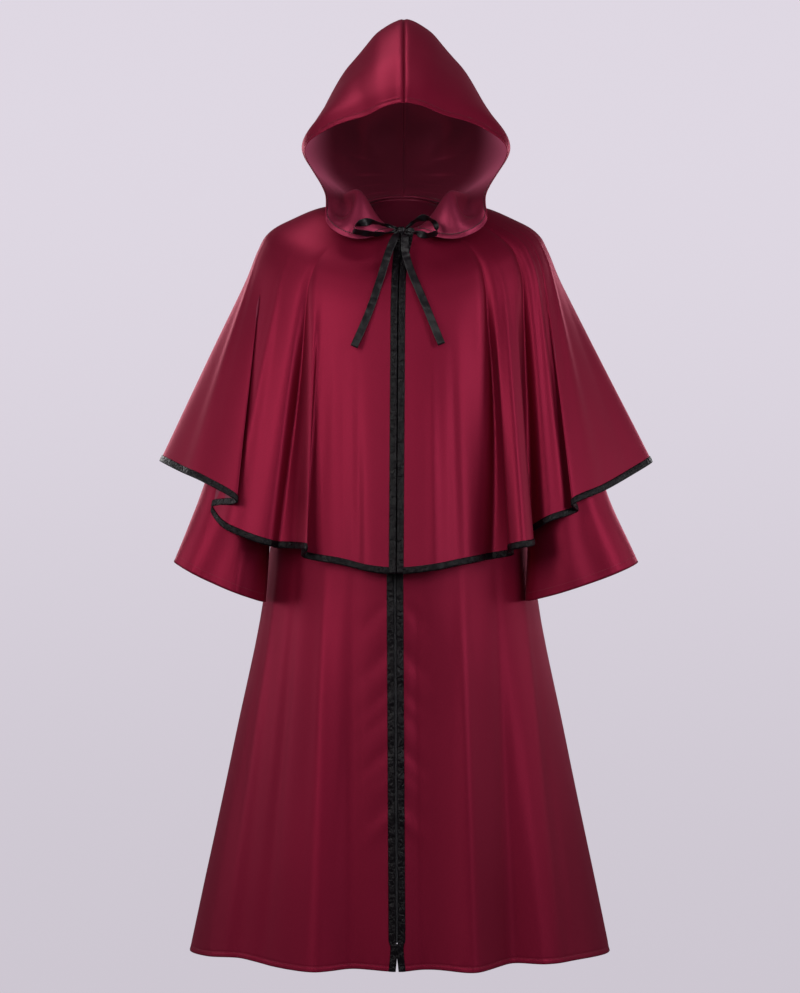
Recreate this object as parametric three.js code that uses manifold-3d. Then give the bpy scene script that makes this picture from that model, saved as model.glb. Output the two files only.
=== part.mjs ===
// A hooded robe with a shoulder capelet, filled out as if worn, hollow and open at neck, cuffs and hem.
// Millimetres. +Z is up, the front faces -Y, and +X is the viewer's right.
// The origin is the middle of the neck, level with the inner ends of the shoulders.
import * as THREE from 'three';
import { mergeVertices } from 'three/addons/utils/BufferGeometryUtils.js';
import Module from 'manifold-3d';

// Driving dimensions
const CLOTH = 1.2; // wall of satin cloth
const GAP = 0.3; // clearance between neighbouring pieces
const BINDING = 0.6; // one leaf of the satin binding
const BINDING_WIDTH = 9.5; // how far a leaf reaches onto the cloth
const RIBBON_WIDTH = 13;
const RIBBON = 0.8;
const ARMHOLE_TURN = 27; // half the armhole's width, in degrees round the body
const ZIP_TOP = -57;
const ZIP_BOTTOM = -1190;
const CHAIN_WIDTH = 4.4;
const CHAIN_THICK = 2.4;
const CHAIN_PROUD = 0.4; // how far the chain stands out of the robe's face
const TAPE_WIDTH = 12;
const TAPE = 1;
const SLIDER = { wide: 7.4, high: 10.5, thick: 1.6, bridge: 2.6 };
const TAB = { wide: 4.6, long: 17, thick: 1.2 };

// How far the capelet's inner face stands outside the robe: room for a leaf of each one's binding
const NECK_STAND = 3 * GAP + 2 * BINDING;
// Half the gap between the two front edges
const ROBE_EDGE = CHAIN_WIDTH / 2 + GAP + BINDING + GAP;
const CAPE_EDGE = 1.8;
const CAPE_EDGE_TOP = 5.6; // the capelet's edges part at the top to show the slider
const CAPE_EDGE_CLOSED = -112; // height where they have closed again

const SATIN = { color: 0x7a1630, roughness: 0.42, metalness: 0 };
const BLACK_SATIN = { color: 0x18161a, roughness: 0.35, metalness: 0 };
const ZIP_BLACK = { color: 0x121114, roughness: 0.5, metalness: 0 };
const METAL = { color: 0x8c8c90, roughness: 0.3, metalness: 1 };
const ENAMEL = { color: 0x1b1a1e, roughness: 0.35, metalness: 0.4 };

// A table's rows as objects, by the names of its columns
function table(heading, rows) {
  const names = heading.split(' ');
  return rows.map((row) => Object.fromEntries(names.map((name, i) => [name, row[i]])));
}

// Rings of the robe from the neck down. side, front and back are half sizes from the ring's middle,
// middle is how far back that lies, drift how far it has swung sideways, and *_z are heights.
const ROBE_RINGS = table('at side front back middle drift side_z front_z back_z', [
  [0.0, 76, 96, 81, 0, 0, 3, -52, 25],
  [0.04, 126, 103, 90, 0, 0, -6, -76, 2],
  [0.09, 176, 114, 100, 2, 0, -29, -108, -32],
  [0.12, 203, 123, 106, 4, 0, -48, -138, -60],
  [0.2, 204, 136, 112, 8, -1, -160, -205, -150],
  [0.28, 198, 147, 114, 13, -2, -272, -300, -270],
  [0.56, 224, 172, 128, 28, -4, -640, -640, -640],
]);
const ROBE_SHOULDER = 0.12;
const ROBE_UNDERARM = 0.28;
const ROBE_HIP = 0.56;

// The robe's hem, a row for each fold's crest or hollow, turning from the front towards +X
const ROBE_HEM = [
  { turn: -180, x: 0, y: 198, z: -1231 },
  { turn: -168, x: -66, y: 176, z: -1228 },
  { turn: -156, x: -128, y: 196, z: -1232 },
  { turn: -143, x: -190, y: 152, z: -1228 },
  { turn: -130, x: -250, y: 150, z: -1232 },
  { turn: -116, x: -296, y: 92, z: -1230 },
  { turn: -103, x: -343, y: 66, z: -1235 },
  { turn: -90, x: -355, y: 14, z: -1237 },
  { turn: -76, x: -318, y: -62, z: -1231 },
  { turn: -60, x: -262, y: -108, z: -1224 },
  { turn: -46, x: -211, y: -152, z: -1227 },
  { turn: -32, x: -143, y: -190, z: -1228 },
  { turn: -16, x: -74, y: -178, z: -1226 },
  { turn: 0, x: -9.5, y: -188, z: -1228 },
  { turn: 14, x: 46, y: -178, z: -1227 },
  { turn: 28, x: 112, y: -190, z: -1229 },
  { turn: 44, x: 177, y: -134, z: -1227 },
  { turn: 57, x: 229, y: -130, z: -1229 },
  { turn: 72, x: 277, y: -88, z: -1232 },
  { turn: 90, x: 344, y: 14, z: -1239 },
  { turn: 103, x: 334, y: 70, z: -1235 },
  { turn: 117, x: 288, y: 96, z: -1230 },
  { turn: 131, x: 246, y: 156, z: -1232 },
  { turn: 145, x: 184, y: 158, z: -1228 },
  { turn: 157, x: 124, y: 198, z: -1232 },
  { turn: 169, x: 60, y: 178, z: -1228 },
  { turn: 180, x: 0, y: 198, z: -1231 },
];

// Rings of the capelet from the neck to where it leaves the shoulders
const CAPE_RINGS = table('at side front back middle drift side_z front_z back_z', [
  [0.0, 76, 96, 81, 0, 0, 6, -51.5, 29],
  [0.09, 127, 103, 92, 0, 0, -1, -74, 8],
  [0.19, 183, 117, 105, 0, 0, -23, -106, -25],
  [0.25, 214, 130, 114, 0, 0, -40, -131, -52],
  [0.3, 236, 138, 122, 0, 0, -66, -156, -80],
  [0.36, 248, 144, 129, 0, 0, -103, -186, -114],
]);
const CAPE_FREE = 0.36;

// The capelet's hem, a row for each fold's crest or hollow. Where x steps back the cloth folds over.
const CAPE_HEM = [
  { turn: -180, x: 0, y: 196, z: -546 },
  { turn: -170, x: -58, y: 176, z: -545 },
  { turn: -160, x: -112, y: 202, z: -541 },
  { turn: -150, x: -176, y: 178, z: -532 },
  { turn: -143, x: -160, y: 150, z: -526 },
  { turn: -133, x: -226, y: 140, z: -512 },
  { turn: -122, x: -290, y: 146, z: -484 },
  { turn: -110, x: -344, y: 98, z: -448 },
  { turn: -99, x: -388, y: 48, z: -429 },
  { turn: -90, x: -404, y: 6, z: -421 },
  { turn: -81, x: -361, y: -74, z: -440 },
  { turn: -73, x: -318, y: -122, z: -458 },
  { turn: -67, x: -264, y: -150, z: -489 },
  { turn: -63, x: -311, y: -110, z: -499 },
  { turn: -56, x: -290, y: -124, z: -528 },
  { turn: -49, x: -250, y: -140, z: -547 },
  { turn: -42, x: -210, y: -150, z: -559 },
  { turn: -37, x: -179, y: -148, z: -562 },
  { turn: -33, x: -152, y: -177, z: -565 },
  { turn: -30, x: -157, y: -148, z: -577 },
  { turn: -22, x: -98, y: -166, z: -588 },
  { turn: -11, x: -55, y: -184, z: -598 },
  { turn: 0, x: -11, y: -188, z: -602 },
  { turn: 11, x: 45, y: -190, z: -597 },
  { turn: 21, x: 98, y: -174, z: -587 },
  { turn: 28, x: 140, y: -148, z: -580 },
  { turn: 33, x: 172, y: -150, z: -573 },
  { turn: 37, x: 167, y: -172, z: -566 },
  { turn: 41, x: 186, y: -185, z: -561 },
  { turn: 45, x: 207, y: -168, z: -557 },
  { turn: 50, x: 196, y: -132, z: -541 },
  { turn: 56, x: 232, y: -134, z: -521 },
  { turn: 64, x: 277, y: -116, z: -505 },
  { turn: 68, x: 270, y: -138, z: -494 },
  { turn: 76, x: 326, y: -95, z: -470 },
  { turn: 83, x: 371, y: -48, z: -447 },
  { turn: 90, x: 414, y: 6, z: -423 },
  { turn: 99, x: 396, y: 50, z: -430 },
  { turn: 110, x: 348, y: 104, z: -449 },
  { turn: 121, x: 296, y: 140, z: -476 },
  { turn: 131, x: 236, y: 184, z: -505 },
  { turn: 138, x: 252, y: 146, z: -512 },
  { turn: 149, x: 178, y: 160, z: -532 },
  { turn: 160, x: 116, y: 200, z: -541 },
  { turn: 170, x: 58, y: 178, z: -545 },
  { turn: 180, x: 0, y: 196, z: -546 },
];

// Where the front edges lie sideways: the closed front wanders a little
const FRONT_LINE = [
  { at: -1240, x: -9.5 },
  { at: -900, x: -11 },
  { at: -600, x: -13 },
  { at: -300, x: -10 },
  { at: -130, x: -7 },
  { at: -50, x: 2 },
];

// Rings of a sleeve below its armhole, by their outer and inner ends, seen from the front
const SLEEVE_RINGS = {
  left: [
    { at: 0.12, outer_x: -226, outer_z: -76, inner_x: -207, inner_z: -292, y: -8, depth: 62 },
    { at: 0.5, outer_x: -283, outer_z: -290, inner_x: -214, inner_z: -420, y: -30, depth: 62 },
    { at: 0.78, outer_x: -326, outer_z: -463, inner_x: -217, inner_z: -545, y: -46, depth: 58 },
    { at: 1, outer_x: -374, outer_z: -586, inner_x: -224, inner_z: -653, y: -56, depth: 54 },
  ],
  right: [
    { at: 0.12, outer_x: 226, outer_z: -76, inner_x: 207, inner_z: -292, y: -8, depth: 62 },
    { at: 0.5, outer_x: 284, outer_z: -290, inner_x: 212, inner_z: -420, y: -32, depth: 62 },
    { at: 0.78, outer_x: 330, outer_z: -463, inner_x: 205, inner_z: -545, y: -50, depth: 56 },
    { at: 1, outer_x: 382, outer_z: -588, inner_x: 199, inner_z: -651, y: -62, depth: 52 },
  ],
};
// How the cuff's edge stands out from its oval, by degrees round it from the outer end over the front
const CUFF_WAVES = [
  { turn: 0, out: 0, drop: 0 },
  { turn: 40, out: 4, drop: 3 },
  { turn: 75, out: -3, drop: 5 },
  { turn: 110, out: 5, drop: 4 },
  { turn: 145, out: -2, drop: 2 },
  { turn: 180, out: 0, drop: 0 },
  { turn: 220, out: 4, drop: 2 },
  { turn: 260, out: -5, drop: 4 },
  { turn: 305, out: 5, drop: 3 },
  { turn: 360, out: 0, drop: 0 },
];

// Arches of one hood half, from the face edge (at 0) to the nape (at 1). Each arch leaves the neck seam
// and passes lapel, corner, cheek, side, temple and brow on its way to the centre seam (crown).
const HOOD_ARCHES = [
  {
    at: 0, neck: 3, lapel: [-82, -124, -68], corner: [-127, -112, -42], cheek: [-129, -118, 4],
    side: [-161, -132, 74], temple: [-122, -150, 104], brow: [-58, -166, 124], crown: [0, -172, 141],
  },
  {
    at: 0.1, neck: 12, lapel: [-76, -124, -40], corner: [-117, -108, -20], cheek: [-129, -96, 14],
    side: [-168, -108, 80], temple: [-134, -128, 126], brow: [-66, -146, 158], crown: [0, -154, 176],
  },
  {
    at: 0.25, neck: 30, lapel: [-72, -108, 8], corner: [-103, -84, 0], cheek: [-127, -60, 26],
    side: [-168, -60, 82], temple: [-138, -80, 142], brow: [-74, -98, 206], crown: [0, -108, 238],
  },
  {
    at: 0.45, neck: 65, lapel: [-90, -40, 12], corner: [-108, -30, 22], cheek: [-130, -14, 42],
    side: [-162, -6, 90], temple: [-138, -16, 150], brow: [-82, -22, 244], crown: [0, -24, 306],
  },
  {
    at: 0.65, neck: 100, lapel: [-86, 22, 14], corner: [-100, 34, 32], cheek: [-120, 46, 58],
    side: [-132, 52, 104], temple: [-122, 52, 168], brow: [-78, 56, 226], crown: [0, 66, 276],
  },
  {
    at: 0.85, neck: 145, lapel: [-56, 78, 32], corner: [-62, 90, 48], cheek: [-70, 102, 68],
    side: [-76, 112, 100], temple: [-72, 118, 142], brow: [-46, 122, 178], crown: [0, 130, 206],
  },
  {
    at: 1, neck: 180, lapel: [0, 90, 42], corner: [0, 100, 56], cheek: [0, 110, 72],
    side: [0, 118, 88], temple: [0, 124, 104], brow: [0, 128, 120], crown: [0, 132, 134],
  },
];

// The bow's knot, and its ribbon runs: points along the middle of each, the width's direction at both ends,
// and the share of the full width that the ribbon is pinched to at both ends
const KNOT = { x: -3, y: -114, z: -53, wide: 13, deep: 8, high: 11, squareness: 0.7 };
const RIBBONS = [
  {
    name: 'tie_loop_left', steps: 16, width_from: [0, -0.7, 0.7], width_to: [0, -0.8, 0.6],
    pinch_from: 0.35, pinch_to: 0.35,
    points: [
      [-10.2, -115, -50.5], [-34, -127, -45], [-58, -137, -43], [-76, -140, -49],
      [-78, -140, -57], [-62, -138, -61], [-34, -127, -61], [-10.2, -115.4, -54.5],
    ],
  },
  {
    name: 'tie_loop_right', steps: 16, width_from: [0, -0.7, 0.7], width_to: [0, -0.8, 0.6],
    pinch_from: 0.35, pinch_to: 0.35,
    points: [
      [4.2, -115, -50.5], [20, -125, -40], [36, -134, -36], [50, -137, -45],
      [54, -138, -58], [42, -136, -64], [22, -127, -60], [4.2, -115.4, -54.5],
    ],
  },
  {
    name: 'tie_tail_left', steps: 12, width_from: [1, 0, -0.25], width_to: [1, 0, -0.3],
    pinch_from: 0.4, pinch_to: 1,
    points: [
      [-7.3, -116, -58.4], [-12, -121.5, -64], [-21.5, -128, -85], [-34.5, -137, -127],
      [-53, -150, -184], [-78, -161, -244],
    ],
  },
  {
    name: 'tie_tail_right', steps: 12, width_from: [1, 0, 0.2], width_to: [1, 0, 0.35],
    pinch_from: 0.4, pinch_to: 1,
    points: [
      [0.5, -116.2, -58.7], [2.2, -126, -64], [3, -128.5, -85], [9.8, -135, -113],
      [36, -151, -178], [61, -161, -240],
    ],
  },
  {
    name: 'tie_lead_left', steps: 4, width_from: [0, 0, 1], width_to: [0, 0, 1],
    pinch_from: 0.4, pinch_to: 0.4,
    points: [[-15.6, -105.6, -54.4], [-11.5, -107.4, -54], [-6.5, -109.3, -53.6]],
  },
  {
    name: 'tie_lead_right', steps: 4, width_from: [0, 0, 1], width_to: [0, 0, 1],
    pinch_from: 0.4, pinch_to: 0.4,
    points: [[18.8, -105.7, -54.4], [10, -108, -54], [0.5, -109.3, -53.4]],
  },
];
const PINCH_LENGTH = 0.25; // share of a run over which its pinched end opens to the full width

const radians = THREE.MathUtils.degToRad;
const clamp = THREE.MathUtils.clamp;
const smooth = THREE.MathUtils.smoothstep;
const lerp = THREE.MathUtils.lerp;

// The value of one column between the rows of a table, by a monotone cubic through them
function column(rows, name, key = 'at') {
  const x = rows.map((row) => row[key]);
  const y = rows.map((row) => row[name]);
  const slope = x.slice(1).map((value, i) => (y[i + 1] - y[i]) / (value - x[i]));
  const tangent = x.map((_, i) => {
    if (i === 0) return slope[0];
    if (i === x.length - 1) return slope[i - 1];
    if (slope[i - 1] * slope[i] <= 0) return 0;
    const before = x[i] - x[i - 1];
    const after = x[i + 1] - x[i];
    const first = 2 * after + before;
    const second = after + 2 * before;
    return (first + second) / (first / slope[i - 1] + second / slope[i]);
  });
  return (at) => {
    const value = clamp(at, x[0], x[x.length - 1]);
    let i = 0;
    while (i < x.length - 2 && value > x[i + 1]) i += 1;
    const step = x[i + 1] - x[i];
    const t = (value - x[i]) / step;
    const t2 = t * t;
    const t3 = t2 * t;
    return (2 * t3 - 3 * t2 + 1) * y[i] + (t3 - 2 * t2 + t) * step * tangent[i]
      + (3 * t2 - 2 * t3) * y[i + 1] + (t3 - t2) * step * tangent[i + 1];
  };
}

// A rounded path through the rows' x, y, z, found by the rows' turn
function pathThrough(rows) {
  const curve = new THREE.CatmullRomCurve3(rows.map((row) => new THREE.Vector3(row.x, row.y, row.z)));
  const turns = rows.map((row) => row.turn);
  return (turn) => {
    let i = 0;
    while (i < turns.length - 2 && turn > turns[i + 1]) i += 1;
    const share = clamp((turn - turns[i]) / (turns[i + 1] - turns[i]), 0, 1);
    return curve.getPoint((i + share) / (turns.length - 1));
  };
}

const frontLine = column(FRONT_LINE, 'x');
const RING_COLUMNS = ['side', 'front', 'back', 'middle', 'drift', 'side_z', 'front_z', 'back_z'];

// A point on a body ring. turn is in degrees from the front towards +X, grow widens the ring.
function ringPoint(columns, at, turn, grow) {
  const angle = radians(turn);
  const ahead = Math.cos(angle);
  const forward = ahead > 0;
  const reach = (forward ? columns.front(at) : columns.back(at)) + grow;
  const level = forward ? columns.front_z(at) : columns.back_z(at);
  const z = lerp(columns.side_z(at), level, ahead * ahead);
  const shift = forward ? lerp(columns.drift(at), frontLine(z), ahead ** 4) : columns.drift(at);
  return new THREE.Vector3(
    (columns.side(at) + grow) * Math.sin(angle) + shift,
    columns.middle(at) - reach * ahead,
    z,
  );
}

// A hanging cloth surface: rings down to `free`, then straight lines to the folded hem
function hangingCloth(rings, free, hemRows, grow) {
  const columns = {};
  for (const name of RING_COLUMNS) {
    columns[name] = column(rings, name);
  }
  const hem = pathThrough(hemRows);
  return (turn, at) => {
    if (at <= free) return ringPoint(columns, at, turn, grow);
    const start = ringPoint(columns, free, turn, grow);
    return start.lerp(hem(turn), (at - free) / (1 - free));
  };
}

const robe = hangingCloth(ROBE_RINGS, ROBE_HIP, ROBE_HEM, 0);
const cape = hangingCloth(CAPE_RINGS, CAPE_FREE, CAPE_HEM, NECK_STAND + CLOTH);

// The outward normal of a surface given as (u, v) => point
function normalAt(surface, u, v, du, dv) {
  const across = surface(u + du, v).sub(surface(u - du, v));
  const down = surface(u, Math.min(v + dv, 1)).sub(surface(u, Math.max(v - dv, 0)));
  return down.cross(across).normalize();
}
const bodyNormal = (surface) => (turn, at) => normalAt(surface, turn, at, 0.25, 0.002);
const robeNormal = bodyNormal(robe);
const capeNormal = bodyNormal(cape);

// The turn where a body surface reaches a given distance beside the closed front
function turnBeside(surface, at, distance) {
  let turn = 0;
  for (let pass = 0; pass < 4; pass += 1) {
    const middle = surface(0, at).x;
    const rate = (surface(turn + 0.5, at).x - surface(turn - 0.5, at).x);
    turn += (distance - (surface(turn, at).x - middle)) / rate;
  }
  return turn;
}

// A named mesh from its points and the corners of its triangles
function meshFrom(points, faces, material, name) {
  const geometry = new THREE.BufferGeometry();
  const values = points.flatMap((point) => [point.x, point.y, point.z]);
  geometry.setAttribute('position', new THREE.Float32BufferAttribute(values, 3));
  geometry.setIndex(faces);
  geometry.computeVertexNormals();
  const mesh = new THREE.Mesh(geometry, new THREE.MeshStandardMaterial(material));
  mesh.name = name;
  return mesh;
}

// A cloth wall between two grids: outer[row][column] and inner[row][column].
// closed says that the columns run round a tube.
function wallMesh(name, outer, inner, material, closed = false) {
  const rows = outer.length;
  const columns = outer[0].length;
  const points = [...outer.flat(), ...inner.flat()];
  const faces = [];
  const index = (layer, r, c) => layer * rows * columns + r * columns + (c % columns);
  const quad = (a, b, c, d) => faces.push(a, b, c, a, c, d);
  const steps = closed ? columns : columns - 1;
  for (let r = 0; r < rows - 1; r += 1) {
    for (let c = 0; c < steps; c += 1) {
      quad(index(0, r, c), index(0, r + 1, c), index(0, r + 1, c + 1), index(0, r, c + 1));
      quad(index(1, r, c), index(1, r, c + 1), index(1, r + 1, c + 1), index(1, r + 1, c));
    }
  }
  for (let c = 0; c < steps; c += 1) {
    quad(index(0, 0, c), index(0, 0, c + 1), index(1, 0, c + 1), index(1, 0, c));
    quad(index(0, rows - 1, c), index(1, rows - 1, c), index(1, rows - 1, c + 1), index(0, rows - 1, c + 1));
  }
  if (!closed) {
    for (let r = 0; r < rows - 1; r += 1) {
      const last = columns - 1;
      quad(index(0, r, 0), index(1, r, 0), index(1, r + 1, 0), index(0, r + 1, 0));
      quad(index(0, r, last), index(0, r + 1, last), index(1, r + 1, last), index(1, r, last));
    }
  }
  return meshFrom(points, faces, material, name);
}

// A cloth wall on a body surface, with a row for each value and columns at the turns given for it
function clothWall(name, surface, normal, rowValues, columnsOf, material) {
  const outer = [];
  const inner = [];
  for (const at of rowValues) {
    const turns = columnsOf(at);
    outer.push(turns.map((turn) => surface(turn, at)));
    inner.push(turns.map((turn) => surface(turn, at).addScaledVector(normal(turn, at), -CLOTH)));
  }
  return wallMesh(name, outer, inner, material);
}

// The corners of a strip's section in order, in halves of its width and thickness
const SQUARE = [[-1, -1], [1, -1], [1, 1], [-1, 1]].map(([x, y]) => new THREE.Vector2(x, y));

// A bar swept through sections, each a closed loop of points, with flat ends. flat is the section's outline.
function sweptBar(name, sections, flat, material) {
  const count = sections[0].length;
  const points = sections.flat();
  const faces = [];
  for (let s = 0; s < sections.length - 1; s += 1) {
    for (let c = 0; c < count; c += 1) {
      const next = (c + 1) % count;
      const a = s * count + c;
      const b = s * count + next;
      faces.push(a, a + count, b + count, a, b + count, b);
    }
  }
  const turning = Math.sign(THREE.ShapeUtils.area(flat));
  const end = (sections.length - 1) * count;
  for (const cap of THREE.ShapeUtils.triangulateShape(flat, [])) {
    const same = THREE.ShapeUtils.area(cap.map((corner) => flat[corner])) * turning > 0;
    const [a, b, c] = same ? cap : [...cap].reverse();
    faces.push(a, b, c);
    faces.push(end + a, end + c, end + b);
  }
  return outwards(meshFrom(points, faces, material, name));
}

// Turns a closed mesh's faces round when it encloses a negative volume
function outwards(mesh) {
  const position = mesh.geometry.getAttribute('position');
  const index = mesh.geometry.getIndex();
  const corner = [new THREE.Vector3(), new THREE.Vector3(), new THREE.Vector3()];
  let volume = 0;
  for (let i = 0; i < index.count; i += 3) {
    corner.forEach((point, k) => point.fromBufferAttribute(position, index.getX(i + k)));
    volume += corner[0].dot(corner[1].clone().cross(corner[2]));
  }
  if (volume < 0) {
    for (let i = 0; i < index.count; i += 3) {
      const second = index.getX(i + 1);
      index.setX(i + 1, index.getX(i + 2));
      index.setX(i + 2, second);
    }
    mesh.geometry.computeVertexNormals();
  }
  return mesh;
}

const garment = new THREE.Group();
const steps = (from, to, count) => Array.from({ length: count + 1 }, (_, i) => lerp(from, to, i / count));

// Cloth at both sides of a seam stops half the gap short of it
function seamTurn(surface, at, turn, side) {
  const reach = surface(turn + 0.5, at).distanceTo(surface(turn - 0.5, at));
  return turn + (side * GAP) / 2 / reach;
}

// Columns of a front panel: more of them where the folds are
const FRONT_COLUMNS_CAPE = 23;
const FRONT_COLUMNS_ROBE = 12;
const BACK_COLUMNS_CAPE = 26;
const BACK_COLUMNS_ROBE = 22;
const FOLD_CLEAR = 3; // degrees that a fold keeps from a panel's ends to get a column

// Turns between two ends, so that the rows of a hem table keep a column each
function spreadTurns(rows, from, to, count) {
  const share = steps(0, 1, count);
  const low = Math.min(from, to);
  const high = Math.max(from, to);
  const isInside = (turn) => turn > low + FOLD_CLEAR && turn < high - FOLD_CLEAR;
  const folds = rows.map((row) => row.turn).filter(isInside);
  const knots = [low, ...folds, high];
  return share.map((value) => {
    const place = value * (knots.length - 1);
    const i = Math.min(Math.floor(place), knots.length - 2);
    return lerp(knots[i], knots[i + 1], place - i);
  });
}

// Robe

const ARMHOLE_STEPS = 8;
const armholeShare = steps(0, Math.PI, ARMHOLE_STEPS).map((angle) => (1 - Math.cos(angle)) / 2);
const armholeRows = armholeShare.map((share) => lerp(ROBE_SHOULDER, ROBE_UNDERARM, share));
const robeRows = [
  ...steps(0, ROBE_SHOULDER, 3).slice(0, -1),
  ...armholeRows,
  ...steps(ROBE_UNDERARM, ROBE_HIP, 3).slice(1),
  ...steps(ROBE_HIP, 1, 4).slice(1),
];

// How far the armhole cuts into a panel, in degrees, at a height on the robe
function armholeCut(at) {
  const share = (at - ROBE_SHOULDER) / (ROBE_UNDERARM - ROBE_SHOULDER);
  if (share <= 0 || share >= 1) return 0;
  return ARMHOLE_TURN * Math.sin(Math.PI * share) ** 0.8;
}

function robeFront(side) {
  const columnsOf = (at) => {
    const edge = turnBeside(robe, at, side * ROBE_EDGE);
    const seam = seamTurn(robe, at, side * 90, -side) - side * armholeCut(at);
    const bound = turnBeside(robe, at, side * (ROBE_EDGE + BINDING_WIDTH));
    const turns = [edge, ...steps(bound, seam, FRONT_COLUMNS_ROBE - 1)];
    return side > 0 ? turns : turns.reverse();
  };
  const name = side > 0 ? 'robe_front_right' : 'robe_front_left';
  return clothWall(name, robe, robeNormal, robeRows, columnsOf, SATIN);
}

function robeBack() {
  const backTurn = (turn) => (turn > 180 ? turn - 360 : turn);
  const surface = (turn, at) => robe(backTurn(turn), at);
  const normal = (turn, at) => normalAt(surface, turn, at, 0.25, 0.002);
  const columnsOf = (at) => {
    const right = seamTurn(robe, at, 90, 1) + armholeCut(at);
    const left = 360 + seamTurn(robe, at, -90, -1) - armholeCut(at);
    return steps(right, left, BACK_COLUMNS_ROBE);
  };
  return clothWall('robe_back', surface, normal, robeRows, columnsOf, SATIN);
}

// Sleeves

const SLEEVE_ROUND = 2 * ARMHOLE_STEPS;
const SLEEVE_TUCK = 0.35; // degrees that the sleeve's seam reaches past the armhole's edge
const SLEEVE_PROUD = 0.5; // how far that seam stands out of the robe's face
const SLEEVE_LIFT = 0.45; // how far it keeps inside the armhole's top and bottom

// The seam ring of a sleeve lies in the armhole, just clear of the robe's cloth
function armholePoint(side, turn) {
  const front = turn <= 180;
  const share = (1 - Math.cos(radians(turn))) / 2;
  const at = lerp(ROBE_SHOULDER, ROBE_UNDERARM, share);
  const cut = Math.max(armholeCut(at) - SLEEVE_TUCK, 0);
  const bodyTurn = side * (front ? 90 - cut : 90 + cut);
  const point = robe(bodyTurn, at).addScaledVector(robeNormal(bodyTurn, at), SLEEVE_PROUD);
  point.z -= SLEEVE_LIFT * Math.cos(radians(turn));
  return point;
}

function sleevePoint(side, turn, at) {
  const rows = side > 0 ? SLEEVE_RINGS.right : SLEEVE_RINGS.left;
  const names = ['outer_x', 'outer_z', 'inner_x', 'inner_z', 'y', 'depth'];
  const first = rows[0].at;
  const place = Math.max(at, first);
  const ring = Object.fromEntries(names.map((name) => [name, column(rows, name)(place)]));
  const angle = radians(turn);
  const across = (1 - Math.cos(angle)) / 2;
  const wave = smooth(at, 0.4, 1);
  const swell = column(CUFF_WAVES, 'out', 'turn')(turn) * wave;
  const drop = column(CUFF_WAVES, 'drop', 'turn')(turn) * wave;
  const point = new THREE.Vector3(
    lerp(ring.outer_x, ring.inner_x, across),
    ring.y - (ring.depth + swell) * Math.sin(angle),
    lerp(ring.outer_z, ring.inner_z, across) - drop,
  );
  if (at < first) {
    return armholePoint(side, turn).lerp(point, at / first);
  }
  return point;
}

function sleeve(side) {
  const rows = [0, 0.06, 0.12, 0.3, 0.5, 0.65, 0.78, 0.9, 1];
  const turns = steps(0, 360, SLEEVE_ROUND).slice(0, -1);
  const ordered = side > 0 ? turns : [0, ...turns.slice(1).reverse()];
  const surface = (turn, at) => sleevePoint(side, ((turn % 360) + 360) % 360, at);
  const sign = side > 0 ? 1 : -1;
  const outer = rows.map((at) => ordered.map((turn) => surface(turn, at)));
  const inner = rows.map((at) => ordered.map((turn) => {
    const from = at < 0.01 ? 0.012 : at;
    const normal = normalAt(surface, turn, from, 1, 0.01).multiplyScalar(sign);
    return surface(turn, at).addScaledVector(normal, CLOTH);
  }));
  return outwards(wallMesh(side > 0 ? 'sleeve_right' : 'sleeve_left', outer, inner, SATIN, true));
}

// Capelet

const capeRows = [0, 0.03, 0.07, 0.12, 0.18, 0.24, 0.3, 0.36, 0.46, 0.58, 0.72, 0.86, 0.982, 1];

// Half the gap between the capelet's front edges at a height
function capeEdge(z) {
  return lerp(CAPE_EDGE, CAPE_EDGE_TOP, smooth(z, CAPE_EDGE_CLOSED, ZIP_TOP));
}

function capeFrontTurns(side, at) {
  const edge = turnBeside(cape, at, side * capeEdge(cape(0, at).z));
  const bound = turnBeside(cape, at, side * (capeEdge(cape(0, at).z) + BINDING_WIDTH));
  const seam = seamTurn(cape, at, side * 90, -side);
  const turns = spreadTurns(CAPE_HEM, bound, seam, FRONT_COLUMNS_CAPE - 1);
  return side > 0 ? [edge, ...turns] : [...turns, edge];
}

function capeBackTurns(at) {
  const right = seamTurn(cape, at, 90, 1);
  const left = 360 + seamTurn(cape, at, -90, -1);
  const around = CAPE_HEM.slice(1).map((row) => ({ turn: (row.turn + 360) % 360 }));
  return spreadTurns(around.sort((a, b) => a.turn - b.turn), right, left, BACK_COLUMNS_CAPE);
}

const capeAround = (turn, at) => cape(turn > 180 ? turn - 360 : turn, at);
const capeAroundNormal = (turn, at) => normalAt(capeAround, turn, at, 0.25, 0.002);

function capeFront(side) {
  const name = side > 0 ? 'cape_front_right' : 'cape_front_left';
  return clothWall(name, cape, capeNormal, capeRows, (at) => capeFrontTurns(side, at), SATIN);
}

// A binding folded over an edge. near is the edge's point on the cloth and far is a leaf's width in from it;
// both come with the cloth's normal there. Its section is a narrow U.
function bindingSection(near, nearNormal, far, farNormal) {
  const outward = near.clone().sub(far).normalize();
  const leaf = (base, normal, out) => base.clone().addScaledVector(normal, out);
  const edge = (beyond, out) => leaf(near, nearNormal, out).addScaledVector(outward, beyond);
  const top = GAP;
  const bottom = -CLOTH - GAP;
  return [
    leaf(far, farNormal, top),
    leaf(far, farNormal, top + BINDING),
    edge(GAP + BINDING, top + BINDING),
    edge(GAP + BINDING, bottom - BINDING),
    leaf(far, farNormal, bottom - BINDING),
    leaf(far, farNormal, bottom),
    edge(GAP, bottom),
    edge(GAP, top),
  ];
}
const U_FLAT = [
  new THREE.Vector2(0, 2), new THREE.Vector2(0, 3), new THREE.Vector2(10, 3), new THREE.Vector2(10, -3),
  new THREE.Vector2(0, -3), new THREE.Vector2(0, -2), new THREE.Vector2(9, -2), new THREE.Vector2(9, 2),
];

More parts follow.
